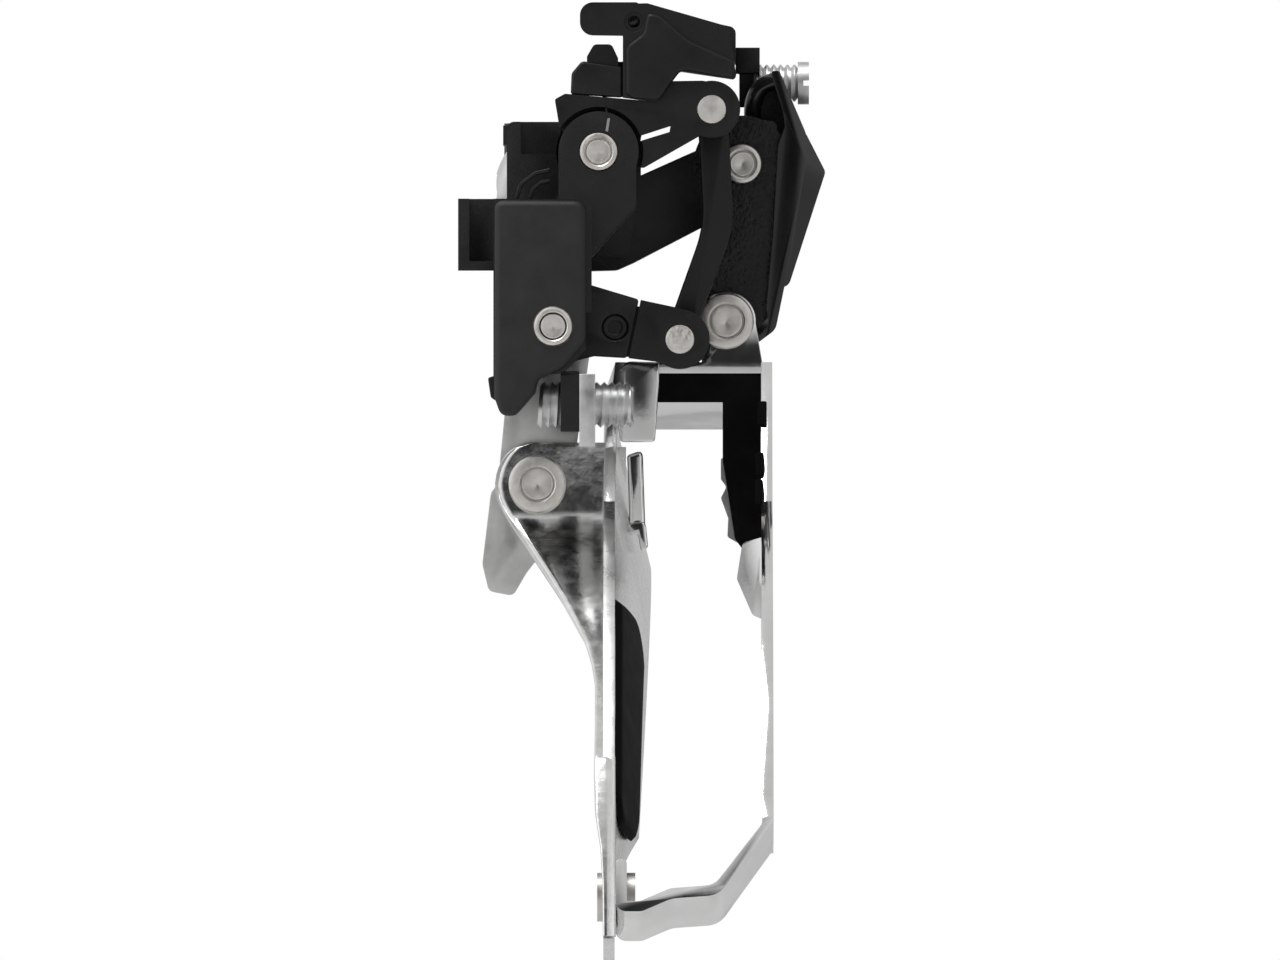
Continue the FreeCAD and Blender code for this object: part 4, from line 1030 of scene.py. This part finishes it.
DETAILS: tuple[Slab, ...] = (
    # full front face of the block, with its broad soft edge, in a lighter casting black that is painted light
    Slab("block_face", "bracket", Slot.CASTING,
         ((-1.25, -0.95, 1.0), (8.50, -0.95, 1.4), (8.50, -16.0, 1.6), (6.0, -19.0, 2.2), (3.4, -20.1, 1.0),
          (3.1, -21.6, 0.8), (1.0, -24.0, 1.2), (-0.6, -24.0, 1.2), (-1.3, -22.0, 1.0)),
         -17.75, -16.4, 0.6, 1.0, LIT_BLOCK_CAST),
    Slab("block_bump", "bracket", Slot.CASTING,
         ((-2.0, -19.9, 0.3), (-1.0, -19.6, 0.2), (-1.0, -22.5, 0.2), (-1.7, -22.0, 0.4)),
         -15.5, -13.5, 0.3, 0.2),
    # index line on the lever's ear, and the fine split line above it
    Slab("index_line", "bracket", Slot.INSERT, ((10.82, 7.90), (11.10, 7.90), (10.88, 6.50), (10.60, 6.50)),
         -14.06, -13.9, 0.05, 0.01),
    Slab("ear_split", "bracket", Slot.CASTING, ((10.60, 9.0), (10.75, 9.0), (10.88, 7.95), (10.73, 7.95)),
         -14.06, -13.9, 0.05, 0.02),
    # the outer link's upper corner, beside the spring's leg
    Slab("link_shoulder", "outer_link", Slot.CASTING,
         ((26.7, 5.4, 0.3), (26.8, 9.6, 0.6), (27.6, 10.9, 0.6), (28.7, 11.6, 0.4), (29.7, 9.8, 0.8),
          (30.3, 5.4, 0.4)), 0.9, 2.9, 0.4, 0.35),
    # two ribs below the seat of the mounting bolt
    Slab("seat_rib_low", "bracket", Slot.CASTING,
         ((0.9, -0.7, 0.3), (1.3, 0.9, 0.8), (3.0, 2.2, 0.8), (4.7, 2.6, 0.2), (4.7, 2.2, 0.2),
          (3.1, 1.8, 0.8),
          (1.7, 0.7, 0.8), (1.3, -0.7, 0.3)), -12.5, -9.0, 0.3, 0.15),
    Slab("seat_rib_high", "bracket", Slot.CASTING,
         ((2.3, -0.7, 0.3), (2.6, 0.4, 0.6), (3.6, 1.2, 0.6), (4.7, 1.4, 0.2), (4.7, 1.0, 0.2),
          (3.7, 0.8, 0.6),
          (3.0, 0.2, 0.6), (2.7, -0.7, 0.3)), -12.5, -9.0, 0.3, 0.15),
    # front face of the cable cap, and a black floor closing its hole, painted shade for the dark inside of
    # the hole
    Slab("cap_face", "cable_lever", Slot.LEVER,
         ((12.75, 10.5, 0.5), (12.75, 15.6, 1.2), (14.6, 17.0, 1.0), (15.0, 19.3, 0.8), (16.6, 18.9, 1.6),
          (19.6, 16.3, 3.0), (24.5, 14.1, 0.8), (24.4, 12.1, 0.6), (18.6, 13.1, 1.4), (16.3, 9.8, 0.9),
          (13.5, 10.0, 0.6)), -14.1, -12.6, 0.5, 0.8),
    Slab("cap_hole_shade_floor", "cable_lever", Slot.COVER,
         ((12.9, 19.2), (14.6, 19.2), (14.6, 17.6), (12.9, 17.6)),
         -10.6, -10.0, 0.3, 0.1),
    # what shows through between the cap and the clamp block
    Slab("clamp_bridge", "cable_lever", Slot.LEVER, ((10.2, 14.0), (14.2, 14.0), (14.2, 10.2), (10.2, 10.2)),
         -11.0, -9.6, 0.2, 0.1),
    # black bar in the groove between the two halves of the drive arm, painted shade for the dark groove
    Slab("arm_groove_shade", "inner_link", Slot.LEVER,
         ((11.6, -11.9), (15.2, -12.4), (14.4, -17.9), (11.4, -17.4)), -11.6, -10.0, 0.2, 0.1),
    # where the bridge over the chain turns down to the inner plate
    Slab("bridge_corner", "cage", Slot.CHROME,
         ((11.55, -19.9, 1.2), (12.5, -18.1, 1.6), (16.4, -18.2, 0.3), (16.4, -20.2, 1.2), (15.9, -26.8, 0.5),
          (12.2, -26.8, 0.5), (11.4, -22.5, 1.0)), -5.2, -3.9, 0.4, 0.4),
    # embossed window and hook on the chain side of the inner plate
    Slab("window_rib", "cage", Slot.CHROME,
         ((12.9, -28.2, 0.4), (14.6, -27.6, 0.6), (14.9, -36.4, 0.6), (13.2, -36.8, 0.6)),
         -2.6, -1.4, 0.3, 0.45),
    Slab("window_hook", "cage", Slot.CHROME,
         ((13.0, -35.6, 0.4), (14.9, -35.2, 0.7), (15.2, -38.2, 0.7), (14.4, -38.6, 0.4), (14.1, -36.8, 0.4),
          (13.0, -36.6, 0.3)), -3.8, -2.6, 0.3, 0.35),
    # inlays in the rear edge of the outer plate
    Slab("edge_inlay_high", "cage", Slot.PAD, ((26.9, -22.4), (27.9, -22.4), (27.9, -24.9), (26.9, -24.9)),
         -9.1, -6.5, 0.25, 0.1),
    Slab("edge_inlay_middle", "cage", Slot.PAD, ((26.7, -27.9), (27.6, -27.9), (27.5, -30.3), (26.7, -30.3)),
         -12.5, -10.0, 0.25, 0.1),
    Slab("edge_inlay_low", "cage", Slot.PAD, ((26.7, -30.8), (27.5, -30.8), (27.4, -33.2), (26.7, -33.6)),
         -14.4, -12.0, 0.25, 0.1),
)


@dataclass
class Details:
    """Raised and joined features of the castings."""

    slabs: tuple[Slab, ...] = DETAILS

    def build(self, finishes: Finishes) -> None:
        """Make all of them.

        Args:
            finishes: The object's finishes.
        """
        for slab in self.slabs:
            slab.build(finishes)
        self.arm_button(finishes)

    def arm_button(self, finishes: Finishes) -> None:
        """Turn the ring-shaped head of the drive arm's rivet.

        Args:
            finishes: The object's finishes.
        """
        low, high = (Vector(corner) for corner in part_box("arm_rivet"))
        place = Vector(((low.x + high.x) / 2, low.y, (low.z + high.z) / 2))
        profile = [(0.0, 0.12), (0.7, 0.12), (0.8, 0.0), (0.9, -0.04), (1.22, -0.04), (1.32, 0.05),
                   (1.32, 1.5), (0.0, 1.5)]
        head = lathe(profile, place, CORE_STEPS)
        piece = piece_from("arm_rivet_head", head, finishes.of(Slot.LEVER))
        finished(piece, body_of("arm_rivet"), ("arm_rivet",))


# ---------------------------------------------------------------- studio
@dataclass
class Studio:
    """Floor, light and camera."""

    floor_z: float = -0.20
    floor_radius: float = 5.0
    floor_level: float = 0.72
    floor_roughness: float = 0.9
    aim: tuple[float, float] = (0.0143, -0.03086)
    frame_width: float = 0.13763
    distance: float = 4.0
    sensor: float = 36.0
    clip: tuple[float, float] = (0.5, 20.0)
    # how far the direction turns to the front, or upward, before the strips give way to the plain dome
    front: tuple[float, float] = (0.45, 0.90)
    above: tuple[float, float] = (0.60, 0.94)
    dome_level: float = 0.60
    # brightness of the strips, from the object's left to its right
    strips: tuple[tuple[float, float], ...] = (
        (0.0, 0.40), (0.12, 0.90), (0.31, 0.85), (0.40, 0.10), (0.46, 0.02), (0.54, 0.03),
        (0.60, 0.50), (0.67, 1.0), (0.78, 0.70), (0.86, 0.10), (0.93, 0.50), (1.0, 0.30))

    def floor(self) -> None:
        """Lay the pale floor."""
        mesh = bmesh.new()
        bmesh.ops.create_circle(mesh, cap_ends=True, radius=self.floor_radius, segments=96)
        bmesh.ops.translate(mesh, verts=mesh.verts, vec=(0.0, 0.0, self.floor_z))
        shade = Shade("studio_floor")
        shade.shader.inputs["Base Color"].default_value = (*(self.floor_level,) * 3, 1.0)
        shade.shader.inputs["Roughness"].default_value = self.floor_roughness
        piece_from("floor", mesh, shade.material)

    def world(self) -> None:
        """Surround the object with upright strips of soft light, dark behind the camera, white to the eye."""
        world = bpy.data.worlds.new("studio")
        bpy.context.scene.world = world
        world.use_nodes = True
        tree = world.node_tree
        background = tree.nodes["Background"]
        coordinates = tree.nodes.new("ShaderNodeTexCoord")
        split = tree.nodes.new("ShaderNodeSeparateXYZ")
        spread = tree.nodes.new("ShaderNodeMapRange")
        spread.inputs["From Min"].default_value = -1.0
        front, above = (tree.nodes.new("ShaderNodeMapRange") for _ in range(2))
        for node, ends in ((front, self.front), (above, self.above)):
            node.interpolation_type = "SMOOTHSTEP"
            node.inputs["From Min"].default_value, node.inputs["From Max"].default_value = ends
        open_sky = tree.nodes.new("ShaderNodeMath")
        open_sky.operation = "MAXIMUM"
        strips = tree.nodes.new("ShaderNodeValToRGB")
        dome = tree.nodes.new("ShaderNodeMix")
        dome.data_type = "RGBA"
        path = tree.nodes.new("ShaderNodeLightPath")
        eye = tree.nodes.new("ShaderNodeMix")
        eye.data_type = "RGBA"
        tree.links.new(coordinates.outputs["Generated"], split.inputs["Vector"])
        tree.links.new(split.outputs["X"], spread.inputs["Value"])
        tree.links.new(spread.outputs["Result"], strips.inputs["Fac"])
        tree.links.new(split.outputs["Y"], front.inputs["Value"])
        while len(strips.color_ramp.elements) < len(self.strips):
            strips.color_ramp.elements.new(0.5)
        for element, (position, level) in zip(strips.color_ramp.elements, self.strips):
            element.position = position
            element.color = (*(level,) * 3, 1.0)
        tree.links.new(split.outputs["Z"], above.inputs["Value"])
        tree.links.new(front.outputs["Result"], open_sky.inputs[0])
        tree.links.new(above.outputs["Result"], open_sky.inputs[1])
        tree.links.new(open_sky.outputs["Value"], dome.inputs["Factor"])
        tree.links.new(strips.outputs["Color"], dome.inputs[MIX_A])
        dome.inputs[MIX_B].default_value = (*(self.dome_level,) * 3, 1.0)
        tree.links.new(path.outputs["Is Camera Ray"], eye.inputs["Factor"])
        tree.links.new(dome.outputs[MIX_RESULT], eye.inputs[MIX_A])
        eye.inputs[MIX_B].default_value = (1.0, 1.0, 1.0, 1.0)
        tree.links.new(eye.outputs[MIX_RESULT], background.inputs["Color"])
        background.inputs["Strength"].default_value = 1.0

    def lamp(self, name: str, place: Sequence[float], size: float, power: float,
             height: float | None = None) -> None:
        """Aim a soft box at the object.

        Args:
            name: The lamp's name.
            place: Where it stands.
            size: Its width.
            power: Watts.
            height: Its height, where it isn't square.
        """
        data = bpy.data.lights.new(name, "AREA")
        data.shape = "RECTANGLE"
        data.size = size
        data.size_y = height or size
        data.energy = power
        lamp = bpy.data.objects.new(name, data)
        bpy.context.scene.collection.objects.link(lamp)
        target = Vector((self.aim[0], 0.0, self.aim[1]))
        lamp.location = place
        lamp.rotation_euler = (Vector(place) - target).to_track_quat("Z", "Y").to_euler()

    def camera(self) -> None:
        """Stand the camera straight behind the object, as a long lens sees it."""
        data = bpy.data.cameras.new("camera")
        data.sensor_width = self.sensor
        data.lens = self.sensor * self.distance / self.frame_width
        data.clip_start, data.clip_end = self.clip
        camera = bpy.data.objects.new("camera", data)
        bpy.context.scene.collection.objects.link(camera)
        camera.location = (self.aim[0], -self.distance, self.aim[1])
        camera.rotation_euler = (math.radians(90.0), 0.0, 0.0)
        bpy.context.scene.camera = camera

    def build(self) -> None:
        """Set the whole studio."""
        self.floor()
        self.world()
        self.lamp("top_box", (-0.22, -0.22, 0.75), 0.40, 3.2)
        self.lamp("left_strip", (-0.8, -0.30, 0.10), 0.16, 0.8, 0.9)
        self.camera()


def main() -> None:
    """Build the object and its studio."""
    logging.basicConfig(level=logging.INFO, format="%(name)s: %(message)s")
    bpy.context.scene.view_settings.view_transform = "Standard"
    finishes = Finishes()
    finishes.dress_nodes()
    for assembly in (Castings(), Pins(), SupportScrew(), ReturnSpring(), CageShapes(), Details()):
        assembly.build(finishes)
    Studio().build()


if __name__ == "__main__":
    main()
